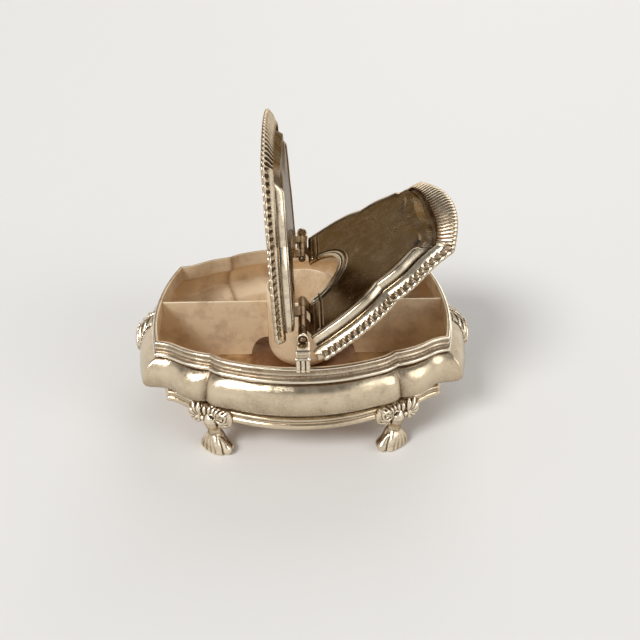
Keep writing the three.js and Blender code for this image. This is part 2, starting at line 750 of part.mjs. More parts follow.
// Where a line of the lid sheet meets a circle round the cut-out
function lineInside(line, radius) {
  if (line.x === undefined) {
    return new THREE.Vector2(radius * Math.sin(line.turn), line.sy * radius * Math.cos(line.turn));
  }
  return new THREE.Vector2(line.x, line.sy * Math.sqrt(radius ** 2 - line.x ** 2));
}

// Stamped lid sheet: cushion rising from the gadrooned mount, flat field, stepped edge and collar
function lidPanel() {
  const gap = border.width + mountSeam;
  const groove = wireTop - cushion.grooveDepth;
  const field = -panelDrop;
  const outer = [
    [gap, wireTop - mountSeam / 2],
    [cushion.groove, groove],
    [cushion.ridgeInset - cushion.shoulder, -cushion.ridgeDrop - panelSheet],
    [cushion.ridgeInset, -cushion.ridgeDrop],
  ];
  const under = [
    [cushion.ridgeInset, field - panelSheet],
    [cushion.groove + panelSheet, groove - mountSeam / 2],
    [gap, wireTop - border.edge],
  ];
  const collarSteps = stripProfile(collar.width).reverse();
  const rings = panelLines().map((line) => {
    const at = (point, z) => new THREE.Vector3(point.x, point.y, z);
    return [
      ...outer.map(([inset, z]) => at(lineOutside(line, inset), z)),
      at(lineOutside(line, cushion.inset), field + line.rise),
      ...collarSteps.map(({ x, y }) => at(lineInside(line, collar.hole + x), field + Math.max(line.rise, y))),
      at(lineInside(line, collar.hole), field - panelSheet),
      ...under.map(([inset, z]) => at(lineOutside(line, inset), z)),
    ];
  });
  return loft(rings);
}

// One knuckle between two places along the hinge line. Its leaf lies under the sheet of the lid.
const leaf = { width: 2.25, gauge: 0.6, neck: 0.7, neckGap: 0.3 };

function knuckle(near, far) {
  const under = -panelDrop - panelSheet - seam;
  const reach = hingeStrip.start + leaf.width;
  const neckOuter = hingeStrip.start - leaf.neckGap;
  const neckInner = neckOuter - leaf.neck;
  const turn = Math.PI * 2;
  const from = -Math.acos(neckOuter / barrel.radius);
  const to = turn - Math.acos(neckInner / barrel.radius);
  const shape = new THREE.Shape();
  shape.absarc(0, 0, barrel.radius, from, to);
  shape.lineTo(neckInner, under - leaf.gauge);
  shape.lineTo(reach, under - leaf.gauge);
  shape.lineTo(reach, under);
  shape.lineTo(neckOuter, under);
  const hole = new THREE.Path();
  hole.absarc(0, 0, barrel.bore, 0, turn, true);
  shape.holes.push(hole);
  const geometry = new THREE.ExtrudeGeometry(shape, {
    depth: far - near,
    bevelEnabled: false,
    curveSegments: 5,
  });
  geometry.applyMatrix4(new THREE.Matrix4().makeBasis(
    new THREE.Vector3(1, 0, 0),
    new THREE.Vector3(0, 0, 1),
    new THREE.Vector3(0, -1, 0),
  ));
  geometry.translate(0, far, 0);
  return orient(geometry);
}

// Scene
const box = new THREE.Group();

function piece(name, geometry, finish, parent = box) {
  const mesh = new THREE.Mesh(geometry, new THREE.MeshStandardMaterial(finish));
  mesh.name = name;
  parent.add(mesh);
  return mesh;
}

piece('body_shell', bodyShell(), silver);
piece('rim_moulding', rimMoulding(), silver);
piece('base_moulding', baseMoulding(), silver);
piece('floor_plate', floorPlate(), wornSilver);
piece('centre_cup', orient(centreCup()), silver);
piece('divider_right', orient(dividerPlate()), wornSilver);
piece('divider_left', orient(dividerPlate()), wornSilver).rotation.z = Math.PI;

// Feet stand under the four cusps and face outwards
const room = bodyRoom(seam);
const cuspTurn = radians((rimPlan.cusp.slope[0] + rimPlan.cusp.slope[1]) / 2);

function placedFoot(sx, sy) {
  const geometry = castFoot();
  const turn = new THREE.Matrix4().makeBasis(
    new THREE.Vector3(sx * Math.cos(cuspTurn), -sy * Math.sin(cuspTurn), 0),
    new THREE.Vector3(sx * Math.sin(cuspTurn), sy * Math.cos(cuspTurn), 0),
    new THREE.Vector3(0, 0, 1),
  );
  geometry.applyMatrix4(turn);
  geometry.translate(sx * rimPlan.cusp.x, sy * rimPlan.cusp.y, 0);
  return cut(orient(geometry), room);
}

piece('foot_front_left', placedFoot(-1, -1), castSilver);
piece('foot_front_right', placedFoot(1, -1), castSilver);
piece('foot_rear_left', placedFoot(-1, 1), castSilver);
piece('foot_rear_right', placedFoot(1, 1), castSilver);

const ornamentRight = cut(castOrnament(), room);
piece('end_ornament_right', ornamentRight, castSilver);
piece('end_ornament_left', ornamentRight, castSilver).rotation.z = Math.PI;

piece('hinge_post_front', hingePost(), castSilver);
piece('hinge_post_rear', hingePost(), castSilver).rotation.z = Math.PI;
piece('hinge_pin_front', hingePin(), silver);
piece('hinge_pin_rear', hingePin(), silver).rotation.z = Math.PI;

// Each lid is the same set of pieces. The left one is turned half round before it is opened.
const knuckleLength = (barrel.outer - barrel.inner - 2 * barrel.gap) / 3;

function knucklePlaces(index) {
  const near = barrel.inner + index * (knuckleLength + barrel.gap);
  return [near, near + knuckleLength];
}

function lid(side, turned, open) {
  const hinge = new THREE.Group();
  hinge.position.z = rimHeight + hingeRise;
  hinge.rotation.y = turned ? radians(open) : -radians(open);
  const flap = new THREE.Group();
  flap.rotation.z = turned ? Math.PI : 0;
  hinge.add(flap);
  box.add(hinge);
  piece(`lid_panel_${side}`, lidPanel(), silver, flap);
  piece(`gadroon_border_${side}`, gadroonBorder(), castSilver, flap);
  const [innerFrom, innerTo] = knucklePlaces(0);
  const [middleFrom, middleTo] = knucklePlaces(1);
  const [outerFrom, outerTo] = knucklePlaces(2);
  const near = turned ? 'rear' : 'front';
  const far = turned ? 'front' : 'rear';
  piece(`knuckle_${side}_${near}_outer`, knuckle(-outerTo, -outerFrom), silver, flap);
  piece(`knuckle_${side}_${near}_inner`, knuckle(-innerTo, -innerFrom), silver, flap);
  piece(`knuckle_${side}_${far}_middle`, knuckle(middleFrom, middleTo), silver, flap);
}

lid('left', true, openLeft);
lid('right', false, openRight);

export default box;
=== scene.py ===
import json
import math
from functools import lru_cache, reduce

import bmesh
import bpy
import numpy as np
from mathutils import Matrix, Vector


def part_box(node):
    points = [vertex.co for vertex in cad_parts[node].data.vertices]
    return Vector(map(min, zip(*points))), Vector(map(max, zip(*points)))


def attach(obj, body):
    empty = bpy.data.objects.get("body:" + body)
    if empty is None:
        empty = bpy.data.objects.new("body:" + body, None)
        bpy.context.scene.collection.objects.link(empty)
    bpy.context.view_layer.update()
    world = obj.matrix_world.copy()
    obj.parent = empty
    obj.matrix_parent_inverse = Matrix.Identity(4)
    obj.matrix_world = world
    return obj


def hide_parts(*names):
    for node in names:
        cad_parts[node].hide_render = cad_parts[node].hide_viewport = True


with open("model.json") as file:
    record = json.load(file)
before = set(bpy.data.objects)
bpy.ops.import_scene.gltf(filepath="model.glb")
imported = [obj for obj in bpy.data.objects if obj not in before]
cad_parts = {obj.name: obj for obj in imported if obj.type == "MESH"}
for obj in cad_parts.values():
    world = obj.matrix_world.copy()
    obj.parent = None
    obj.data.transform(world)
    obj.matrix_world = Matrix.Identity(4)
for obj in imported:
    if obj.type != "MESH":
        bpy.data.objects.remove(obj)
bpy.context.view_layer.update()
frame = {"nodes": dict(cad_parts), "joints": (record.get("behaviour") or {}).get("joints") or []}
mm = 0.001  # the sizes below are in millimetres
print("frame loaded with", len(frame["nodes"]), "nodes")

# Plan and levels of the body

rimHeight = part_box("rim_moulding")[1].z / mm
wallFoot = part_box("base_moulding")[0].z / mm
wallHeight = rimHeight - wallFoot
hingeHeight = frame["joints"][0]["pos_m"][2] / mm
hingeRise = hingeHeight - rimHeight

# Each point is the place of one quarter of the outline, and the falling slope before and after it. Where the wall
# swells to the full, swing has turned these slopes and push has moved the point. Soft eases a crease.
rimPlan = [
    {"at": (0, 60.3), "slope": (0, 0)},
    {"at": (31, 54.9), "slope": (19, 19)},
    {"at": (41.4, 48.8), "slope": (48, 12), "swing": (22, -24), "soft": 0.45},
    {"at": (58, 41.4), "slope": (36, 36), "swing": (14, 14)},
    {"at": (68, 37.6), "slope": (6, 75), "swing": (-10, -4), "push": 2.5, "soft": 0.8},
    {"at": (73, 0), "slope": (90, 90), "push": 4},
]
lidPlan = [
    {"at": (0.4, 61.5), "slope": (2, 2)},
    {"at": (30, 57.3), "slope": (19, 19)},
    {"at": (41.6, 50.9), "slope": (42, 6)},
    {"at": (56, 46.4), "slope": (31, 31)},
    {"at": (71.6, 41.4), "slope": (8, 68)},
    {"at": (80.7, 0), "slope": (90, 90)},
]
handleShare = 0.36
cornerKey = 4
endKey = 5

# The wall's section, as reach beyond the rim outline and height from the rim
wall = {
    "sheet": 1.0, "back": 0.5, "foot": -1.5, "neckDrop": 7.7, "tuckDrop": 28.3,
    "shoulder": (5.4, -10.6), "swell": (5.9, -19.4), "edge": (5.95, -21.5), "tuck": (4.4, -22.6),
    "tuckBend": (-0.2, 0.2), "mouldingPull": 0.5, "footPull": 2.2,
}


def mitred(key, out, fullness):
    before, after = (math.radians(slope) for slope in key["slope"])
    spread = 1 + math.cos(before - after)
    x = key["at"][0] + out * (math.sin(before) + math.sin(after)) / spread
    y = key["at"][1] + out * (math.cos(before) + math.cos(after)) / spread
    return np.array([x + key.get("push", 0) * fullness, y])


# A point of the curve between two neighbouring keys of a quarter outline
def spanPoint(plan, span, share, out, fullness, cornerMove, endMove):
    start, stop = (mitred(plan[index], out, fullness) for index in (span, span + 1))
    start[0] += cornerMove * (span == cornerKey)
    stop[0] += cornerMove * (span + 1 == cornerKey) + endMove * (span + 1 == endKey)
    handle = handleShare * np.linalg.norm(stop - start)
    leave = math.radians(plan[span]["slope"][1] + plan[span].get("swing", (0, 0))[1] * fullness)
    arrive = math.radians(plan[span + 1]["slope"][0] + plan[span + 1].get("swing", (0, 0))[0] * fullness)
    first = start + handle * np.array([math.cos(leave), -math.sin(leave)])
    second = stop + handle * np.array([-math.cos(arrive), math.sin(arrive)])
    rest = 1 - share
    return rest**3 * start + 3 * rest**2 * share * first + 3 * rest * share**2 * second + share**3 * stop


# The share of a span over which the crease at one of its keys is eased
def easeShare(plan, span, key):
    if key >= len(plan) or "soft" not in plan[key]:
        return 0
    return plan[key]["soft"] / math.dist(plan[span]["at"], plan[span + 1]["at"])


def planPoint(plan, span, share, *moves):
    for key, far in ((span, share), (span + 1, 1 - share)):
        reach = easeShare(plan, span, key)
        if far < reach:
            before = spanPoint(plan, key - 1, 1 - easeShare(plan, key - 1, key), *moves)
            crease = spanPoint(plan, key, 0, *moves)
            after = spanPoint(plan, key, easeShare(plan, key, key), *moves)
            turn = 0.5 + 0.5 * far / reach * (1 if key == span else -1)
            return (1 - turn) ** 2 * before + 2 * turn * (1 - turn) * crease + turn**2 * after
    return spanPoint(plan, span, share, *moves)


easing = {"steps": 4, "clear": 1.2}


# Even shares of a span, with closer ones over an eased crease
def spanShares(span, count):
    shares = [step / count for step in range(count)]
    for key, end in ((span, 0), (span + 1, 1)):
        reach = easeShare(rimPlan, span, key)
        if reach:
            shares = [share for share in shares if share == end or abs(share - end) > easing["clear"] * reach]
            steps = easing["steps"]
            shares += [abs(end - reach * part / steps) for part in range(1, steps + 1)]
    return sorted(shares)


# Stations round the whole outline, anticlockwise from the right end
def stationsRound(steps):
    quarter = [(span, share) for span, count in enumerate(steps) for share in spanShares(span, count)]
    quarter.append((endKey - 1, 1.0))
    runs = [(quarter[::-1], 1, 1), (quarter, -1, 1), (quarter[::-1], -1, -1), (quarter, 1, -1)]
    return [(span, share, sx, sy) for run, sx, sy in runs for span, share in run[:-1]]


# A point of one quarter by its reach beyond the rim outline. The corners are drawn in at the mouldings and the foot.
@lru_cache(maxsize=None)
def quarterPoint(span, share, reach, height, fullness):
    tuck = min(1, max(0, (wall["swell"][1] - height) / (wall["tuckDrop"] + wall["swell"][1])))
    inMoulding = max(0, reach) if height > -wall["neckDrop"] else 0
    cornerMove = -wall["mouldingPull"] * inMoulding - wall["footPull"] * tuck
    return planPoint(rimPlan, span, share, reach, fullness, cornerMove, 0)


def rimPoint(station, reach, height, fullness=0.0):
    span, share, sx, sy = station
    x, y = quarterPoint(span, share, reach, height, fullness)
    return (x * sx, y * sy, rimHeight + height)


# Making meshes


def placeObject(name, data):
    made = bpy.data.objects.new(name, data)
    bpy.context.scene.collection.objects.link(made)
    return made


# Turns the faces outwards, and can first join the points that meet
def tidyMesh(mesh, merge=False):
    shape = bmesh.new()
    shape.from_mesh(mesh)
    if merge:
        bmesh.ops.remove_doubles(shape, verts=shape.verts, dist=1e-7)
    bmesh.ops.recalc_face_normals(shape, faces=shape.faces)
    shape.to_mesh(mesh)
    shape.free()


# Each vertex is marked with how deep it lies in the ornament, and with its place in the piece's own frame
# Above zero the recess mark gives tarnish and painted shade, below zero rubbed bright metal and painted highlight
def meshObject(name, points, faces, smoothAngle=32, recess=None, place=None):
    mesh = bpy.data.meshes.new(name)
    mesh.from_pydata([tuple(np.asarray(p) * mm) for p in points], [], faces)
    mesh.validate()
    tidyMesh(mesh)
    mesh.polygons.foreach_set("use_smooth", [True] * len(mesh.polygons))
    mesh.set_sharp_from_angle(angle=math.radians(smoothAngle))
    count = len(mesh.vertices)
    depth = np.zeros(count, np.float32) if recess is None else np.asarray(recess, np.float32)
    spots = np.zeros(count * 3, np.float32)
    mesh.vertices.foreach_get("co", spots)
    spots = spots / mm if place is None else np.asarray(place, np.float32).reshape(-1)
    mesh.attributes.new("recess", "FLOAT", "POINT").data.foreach_set("value", depth)
    mesh.attributes.new("place", "FLOAT_VECTOR", "POINT").data.foreach_set("vector", spots)
    return placeObject(name, mesh)


finishOf = {}


# Hides the node that a piece stands for, and gives the piece the body that it rides on and the finish that it gets
def settle(made, node, body, finish):
    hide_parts(node)
    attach(made, body)
    finishOf[made.name] = finish


# A body through rings of equal length, capped at its ends or joined end to end
def loftObject(name, rings, closed=False, recess=None, place=None, smoothAngle=32):
    rings = np.asarray(rings, float)
    count, size, _ = rings.shape
    faces = []
    for ring in range(count if closed else count - 1):
        below, above = ring * size, (ring + 1) % count * size
        for side in range(size):
            beside = (side + 1) % size
            faces.append((below + side, below + beside, above + beside, above + side))
    if not closed:
        faces.append(tuple(range(size))[::-1])
        faces.append(tuple(range((count - 1) * size, count * size)))
    marks = None if recess is None else np.asarray(recess).reshape(-1)
    spots = None if place is None else np.asarray(place).reshape(-1, 3)
    return meshObject(name, rings.reshape(-1, 3), faces, smoothAngle, marks, spots)


def arcPoints(centre, radius, start, stop, count):
    turns = np.radians(np.linspace(start, stop, count))
    return [(centre[0] + radius * math.cos(t), centre[1] + radius * math.sin(t)) for t in turns]


def curvePoints(start, control, stop, count):
    start, control, stop = (np.array(p, float) for p in (start, control, stop))
    return [tuple((1 - s) ** 2 * start + 2 * s * (1 - s) * control + s * s * stop) for s in np.linspace(0, 1, count)]


# The same run of points moved sideways. What follows their two coordinates is kept.
def offsetRun(points, distance):
    flat = [np.array(point[:2], float) for point in points]
    moved = []
    for index, point in enumerate(flat):
        before, after = flat[max(index - 1, 0)], flat[min(index + 1, len(flat) - 1)]
        first = (point - before) / (np.linalg.norm(point - before) or 1)
        second = (after - point) / (np.linalg.norm(after - point) or 1)
        heading = (first + second) / np.linalg.norm(first + second)
        x, y = point[0] + heading[1] * distance, point[1] - heading[0] * distance
        moved.append((float(x), float(y), *points[index][2:]))
    return moved


# Rises smoothly from 0 at low to 1 at high
def eased(value, low, high):
    share = min(1, max(0, (value - low) / (high - low)))
    return share * share * (3 - 2 * share)


def mixed(ends, share):
    return ends[0] + (ends[1] - ends[0]) * share


outlineSteps = (44, 16, 24, 16, 50)
crease = {"spans": (1, 2), "reach": 4.0}


# How near a station is to the outline's inward crease: 1 in it, 0 from a few millimetres off
def creaseShare(station):
    span, share = station[:2]
    if span not in crease["spans"]:
        return 0.0
    away = 1 - share if span == crease["spans"][0] else share
    return max(0.0, 1 - away * math.dist(rimPlan[span]["at"], rimPlan[span + 1]["at"]) / crease["reach"]) ** 2


# A wire or wall all round. Its section gives the reach and height from the rim, and the share of the full swell.
def sweepOutline(name, section, recess, smoothAngle=32, creased=0.0):
    stations = stationsRound(outlineSteps)
    rings = [[rimPoint(station, *place) for place in section] for station in stations]
    # Creased adds painted shade along the inward creases of the outline
    marks = [[mark + creased * creaseShare(station) for mark in recess] for station in stations]
    return loftObject(name, rings, closed=True, recess=marks, smoothAngle=smoothAngle)


# Outer face of the wall: a neck, a swell, a rounded edge and a tuck down to the base moulding
def wallFace(count=18):
    foot = (wall["foot"], -wall["tuckDrop"])
    tuckBend = np.add(wall["tuck"], foot) / 2 + wall["tuckBend"]
    run = [(-wall["back"], 0), (-wall["back"], 0.2 - wall["neckDrop"])]
    run += curvePoints((-wall["back"], -wall["neckDrop"]), wall["shoulder"], wall["swell"], count)
    run += curvePoints(wall["swell"], wall["edge"], wall["tuck"], 9)[1:]
    run += curvePoints(wall["tuck"], tuckBend, foot, 7)[1:]
    run.append((wall["foot"], -wallHeight))
    return [(float(x), float(y), max(0.0, float(x) / wall["swell"][0])) for x, y in run]


# Painted shade on the wall: under the rim moulding, in the tuck and in the creases; and a darkening that grows
# towards the lower edge
wallMarks = {"neck": 0.9, "neckDrop": 8.3, "lowerDark": 0.055, "lowerDarkDrop": 14, "tuck": 0.6, "crease": 0.75}


def makeBodyShell():
    outer = wallFace()
    inner = offsetRun(outer, wall["sheet"])[::-1]
    marks = []
    for _, height, _ in outer:
        # Painted shade under the rim moulding and in the tuck, and darker towards the lower edge above the tuck
        neck = wallMarks["neck"] if -height < wallMarks["neckDrop"] else 0.0
        lowerDark = wallMarks["lowerDark"] * (-height - wallMarks["lowerDarkDrop"])
        marks.append(wallMarks["tuck"] if height < wall["tuck"][1] + 0.1 else max(neck, lowerDark))
    marks += [0.0] * len(inner)
    shell = sweepOutline("bodyShell", outer + inner, marks, 50, wallMarks["crease"])
    settle(shell, "body_shell", "box", "silver")
    return shell


rimMould = {
    "height": 7.4, "back": 0.3, "foot": 0.7, "beadReach": 1.5, "beadRadius": 0.9,
    "lip": (((0.05, -0.35), 0.35, 90, 0, 5), ((0.1, -0.55), 0.3, 0, -80, 4)),  # centre, radius, turn and steps
    "hollow": ((0.05, -0.95), (-0.35, -1.9), (0.3, -2.75)),
    "ridge": ((0.32, -3.0), 0.25, 80, -60, 5),
    "lowerHollow": ((0.35, -3.3), (0.25, -4.5)),
    # Drops from and to, and the mark between them: tarnish and painted shade in the hollows and under the bead,
    # rubbed bright metal and painted highlight on the lip, ridge and bead
    "marks": ((0.0, 0.7, -0.5), (0.7, 1.2, 1.1), (1.2, 2.7, 0.7), (2.7, 3.2, -0.6), (3.2, 3.6, 1.2),
              (3.6, 4.9, 0.75), (4.9, 6.5, -0.5), (6.5, 7.5, 1.3)),
}


# Stepped wire round the rim: a lip, a hollow, a thin ridge, a second hollow and a bead
def makeRimMoulding():
    x, y = rimMould["beadReach"], rimMould["beadRadius"] + rimMould["foot"] - rimMould["height"]
    section = [(-rimMould["back"], 0), (0, 0)]
    for arc in rimMould["lip"]:
        section += arcPoints(*arc)
    section += curvePoints(*rimMould["hollow"], 7) + arcPoints(*rimMould["ridge"])
    section += curvePoints(*rimMould["lowerHollow"], (x - 0.25, y + 0.95), 7)
    section += arcPoints((x, y), rimMould["beadRadius"], 100, -90, 13)
    section += [(x - 0.5, y - 1.1), (-rimMould["back"], -rimMould["height"])]
    marks = [next((mark for top, low, mark in rimMould["marks"] if top <= -z < low), 0.0) for _, z in section]
    settle(sweepOutline("rimMoulding", section, marks), "rim_moulding", "box", "silver")


baseMould = {"height": 6.0, "reach": -0.8, "beadRadius": 0.9, "rollRadius": 1.75, "back": 1.3}


# A bead over a thicker roll, with tarnish and painted shade in the crease between them
def makeBaseMoulding():
    reach, back, top = baseMould["reach"], -baseMould["back"], baseMould["height"] - wallHeight
    section = [(back, top), (reach, top)]
    section += arcPoints((reach, top - baseMould["beadRadius"]), baseMould["beadRadius"], 88, -70, 9)
    section += arcPoints((reach, baseMould["rollRadius"] - wallHeight), baseMould["rollRadius"], 68, -90, 14)
    section.append((back, -wallHeight))
    creaseLevel = top - 2 * baseMould["beadRadius"]
    marks = [1.0 if abs(height - creaseLevel) < 0.5 else 0.0 for _, height in section]
    settle(sweepOutline("baseMoulding", section, marks), "base_moulding", "box", "silver")


# Beaker and dividers


# The bottom and the top of a CAD node
def levelsOf(node):
    return [corner.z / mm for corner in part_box(node)]


def lathe(name, profile, turns=96, axis="Z"):
    angles = [2 * math.pi * turn / turns for turn in range(turns)]
    rings = [[(r * math.cos(angle), r * math.sin(angle), z) for r, z in profile] for angle in angles]
    if axis == "Y":
        rings = [[(x, z, y) for x, y, z in ring] for ring in rings]
    made = loftObject(name, rings, closed=True)
    tidyMesh(made.data, merge=True)
    return made


cup = {"radius": 18.2, "wall": 0.9, "baseRound": 9, "pole": 0.01}


def makeCup():
    bottom, top = levelsOf("centre_cup")
    radius, gauge, rounding = cup["radius"], cup["wall"], cup["baseRound"]
    base = (radius - rounding, bottom + rounding)
    profile = [(cup["pole"], bottom)] + arcPoints(base, rounding, -90, 0, 16)
    profile += arcPoints((radius - gauge / 2, top - gauge / 2), gauge / 2, 0, 180, 9)
    profile += arcPoints(base, rounding - gauge, 0, -90, 16) + [(cup["pole"], bottom + gauge)]
    settle(lathe("beaker", profile), "centre_cup", "box", "insideSilver")


divider = {
    "gauge": 1.0, "gap": 0.2, "bevel": 0.12,
    "archWidth": 9.5, "archHeight": 11, "archLean": 2, "archCrown": 0.5,
}


def makeDivider(side):
    hand = "right" if side > 0 else "left"
    bottom, top = levelsOf("divider_" + hand)
    inside = cup["radius"] + divider["gap"]
    archStart, archTop = inside + divider["archWidth"], bottom + divider["archHeight"]
    outer = [p for p in offsetRun(wallFace(), wall["sheet"] + divider["gap"]) if bottom < rimHeight + p[1] < top]
    endAt, endPush = rimPlan[endKey]["at"][0], rimPlan[endKey]["push"]
    outline = [(endAt + x + endPush * fullness, rimHeight + y) for x, y, fullness in outer]
    outline = [(outline[0][0], top)] + outline + [(outline[-1][0], bottom)]
    archBend = (archStart - divider["archLean"], archTop + divider["archCrown"])
    outline += curvePoints((archStart, bottom), archBend, (inside, archTop), 16) + [(inside, top)]
    half, bevel = divider["gauge"] / 2, divider["bevel"]
    rings = []
    for y, drop in ((-half, bevel), (bevel - half, 0), (half - bevel, 0), (half, bevel)):
        rings.append([(side * x, y, z - (drop if z > top - 0.01 else 0)) for x, z in outline])
    made = loftObject("divider" + hand.capitalize(), rings)
    settle(made, "divider_" + hand, "box", "insideSilver")


# Lids, drawn closed with the hinge line as Y through the origin, then opened

lidAngle = {"left": 87.0, "right": 36.5}
lidRim = {
    "seatGap": 0.5, "width": 7.3, "endWidth": 9.6, "rise": 2.9, "edge": 1.2, "undercut": 0.4,
    "postStop": 58.4, "postRoom": 3.6,  # the ends stop short of the hinge posts
}
borderBottom = lidRim["seatGap"] - hingeRise
borderEdgeTop = borderBottom + lidRim["edge"]
wireTop = borderEdgeTop + lidRim["rise"]


def openLid(points, side):
    x, y, z = np.moveaxis(np.asarray(points, float), -1, 0)
    turn = math.radians(lidAngle[side])
    way = -1 if side == "left" else 1
    across = way * (x * math.cos(turn) - z * math.sin(turn))
    return np.stack([across, way * y, x * math.sin(turn) + z * math.cos(turn) + hingeHeight], -1)


def lidPoint(station, inset):
    span, share, sy = station
    endMove = (lidRim["width"] - lidRim["endWidth"]) * (inset / lidRim["width"]) ** 2
    x, y = planPoint(lidPlan, span, share, -inset, 0, 0, endMove)
    return np.array([x, sy * y])


def makeLidPiece(name, node, rings, marks, side, finish, smoothAngle):
    made = loftObject(name + side.capitalize(), openLid(rings, side), False, marks, rings, smoothAngle)
    settle(made, node + side, "lid_" + side, finish)


reeds = {
    "pitch": 3.0, "steps": 14, "samples": 60, "scallop": 0.4, "lean": 0.42,
    # Inset past the scallop, level from the edge's top, and how brown it is; below zero, here and at the crest, it
    # is rubbed bright metal and painted highlight
    "edge": ((0.12, -0.95, 0.0), (0.0, -0.4, 0.0), (0.2, 0.12, -0.5)),
    "insets": (0.85, 1.2, 1.7, 2.2, 2.7, 3.2, 3.7, 4.1, 4.5, 4.9, 5.4, 5.9, 6.4, 6.9, 7.15),
    "crest": {"inset": 0.55, "level": 0.22, "rise": 0.3, "brown": -0.6}, "leastSharp": 0.35,
    "start": (0.5, 0.7), "tail": (0.45, 0.55), "brownEnd": (0.72, 3.5),
    # Along the front and back, and round the end: brown gives tarnish and painted shade between the reeds, rub takes
    # it off their crowns as rubbed bright metal and painted highlight
    "front": {"lobe": 0.6, "valley": 0.48, "sharp": 2.2, "sharpFall": 2.5, "brown": 0.55, "rubAndHighlight": 0.8},
    "end": {"lobe": 0.7, "valley": 0.8, "sharp": 1.2, "sharpFall": 0.0, "brown": 2.0, "rubAndHighlight": 2.5},
}
wire = {"height": 0.8, "middle": 5.5, "half": 1.8, "fade": 0.12, "clear": (2.6, 4.2), "rubAndHighlight": 0.9, "rubAndHighlightFrom": 0.2}


# Stations at equal steps along a run of spans, so that each run holds whole reeds
def reedStations(firstSpan, lastSpan):
    samples = []
    for span in range(firstSpan, lastSpan + 1):
        for step in range(0 if span == firstSpan else 1, reeds["samples"] + 1):
            share = step / reeds["samples"]
            samples.append((span, share, lidPoint((span, share, 1), lidRim["width"] / 2)))
    lengths = [0.0]
    for before, after in zip(samples, samples[1:]):
        lengths.append(lengths[-1] + float(np.linalg.norm(after[2] - before[2])))
    steps = reeds["steps"]
    count = round(lengths[-1] / reeds["pitch"]) * steps
    stations = []
    for step in range(count):
        wanted = lengths[-1] * step / count
        above = max(1, next(i for i, length in enumerate(lengths) if length > wanted))
        low, high = samples[above - 1], samples[above]
        share = (wanted - lengths[above - 1]) / (lengths[above] - lengths[above - 1])
        start = low[1] if low[0] == high[0] else 0
        stations.append((high[0], start + (high[1] - start) * share, (step % steps) / steps))
    return stations


# How much of the smooth wire there is: all of it along the front and back, none round the end
def wireShare(span, share):
    return 1.0 if span < endKey - 1 else max(0.0, 1 - share / wire["fade"])


# Level of the border at an inset and how brown it is there, with tarnish and painted shade between the reeds and
# rubbed bright metal and painted highlight on their crowns and on the wire: reeds on a slope, and the smooth wire
def reedAt(inset, phase, lean, wired):
    along = inset / lidRim["width"]
    kind = reeds["front" if wired > 0.5 else "end"]
    crown = abs(math.sin(math.pi * (phase - lean * reeds["lean"] * inset / reeds["pitch"])))
    ridge = crown ** max(reeds["leastSharp"], kind["sharp"] - kind["sharpFall"] * along)
    start, reach = reeds["start"]
    fade = min(1, (inset - start) / reach) * (1 - wired * eased(inset, *wire["clear"]))
    tailStart, tailFall = reeds["tail"]
    tail = 1 - tailFall * max(0, along - tailStart)
    lobe = (kind["lobe"] * ridge - kind["valley"] * (1 - ridge)) * fade * tail
    beside = (inset - wire["middle"]) / wire["half"]
    strand = wired * wire["height"] * math.sqrt(max(0, 1 - beside**2))
    brown = (kind["brown"] - kind["rubAndHighlight"] * ridge) * fade if wired > 0.5 else kind["brown"] - kind["rubAndHighlight"] * crown
    brownStart, brownRise = reeds["brownEnd"]
    rubAndHighlight = wire["rubAndHighlight"] * strand if strand > wire["rubAndHighlightFrom"] else 0
    brown += (1 - wired) * max(0, along - brownStart) * brownRise - rubAndHighlight
    return borderEdgeTop + lidRim["rise"] * along + lobe + strand, min(1.0, brown)


def makeGadroonBorder(side):
    quarter = reedStations(0, 1) + reedStations(2, 3) + reedStations(4, 4)
    end = (endKey - 1, 1.0, 0.0, 1)
    stations = [s + (-1,) for s in quarter] + [end] + [s + (1,) for s in quarter][::-1]
    width, crest = lidRim["width"], reeds["crest"]
    rings, marks = [], []
    for span, share, phase, sy in stations:
        wired = wireShare(span, share)
        lean = sy * (1 - wired if sy < 0 else share * (span == endKey - 1))
        crown = math.sin(math.pi * phase)
        scallop = -reeds["scallop"] * crown**0.7
        section = [(lidRim["undercut"], borderBottom, 0.0)]
        section += [(scallop + inset, borderEdgeTop + level, mark) for inset, level, mark in reeds["edge"]]
        section.append((crest["inset"], borderEdgeTop + crest["level"] + crest["rise"] * crown, crest["brown"]))
        section += [(inset, *reedAt(inset, phase, lean, wired)) for inset in reeds["insets"]]
        # The inner edge runs down into the groove by the panel, dark with tarnish and painted shade
        section += [(width - 0.02, wireTop - 0.15, 0.9), (width, wireTop - lidRim["edge"], 1.0)]
        ring = []
        for inset, z, _ in section:
            x, y = lidPoint((span, share, sy), inset)
            if abs(y) > lidRim["postStop"] and abs(x) < lidRim["postRoom"]:
                y = math.copysign(lidRim["postStop"], y)
            ring.append((x, y, z))
        rings.append(ring)
        marks.append([mark for _, _, mark in section])
    makeLidPiece("gadroonBorder", "gadroon_border_", rings, marks, side, "castSilver", 50)


panel = {
    "drop": 4.1, "sheet": 0.8, "stripStart": 1.9, "stripWidth": 7.5, "stripRise": 0.8, "seam": 0.03,
    "fieldShares": (0.15, 0.35, 0.55, 0.75), "grooveBrown": 0.5, "lipBrown": 0.3, "underBrown": 0.2,
}
# The collar round the beaker has tarnish and painted shade in its sunk steps, and rubbed bright metal and painted
# highlight on its crests
collar = {"hole": cup["radius"] + 1.4, "width": 6.2, "crests": (0.0, 0.27, 0.43, 0.82), "brown": 0.6, "rubAndHighlight": -0.9}
cushion = {
    "inset": 13.4, "ridgeInset": 11.2, "stepInset": 9.9, "ridgeDrop": 3.5, "groove": 8.3, "grooveDepth": 0.7,
    # Towards the end the ridge turns into a gentle rise, a little brown up to an inset
    "fade": (0.55, 1.0), "gentleReach": 8.4, "gentleBrown": 0.15, "gentleStop": 12,
}


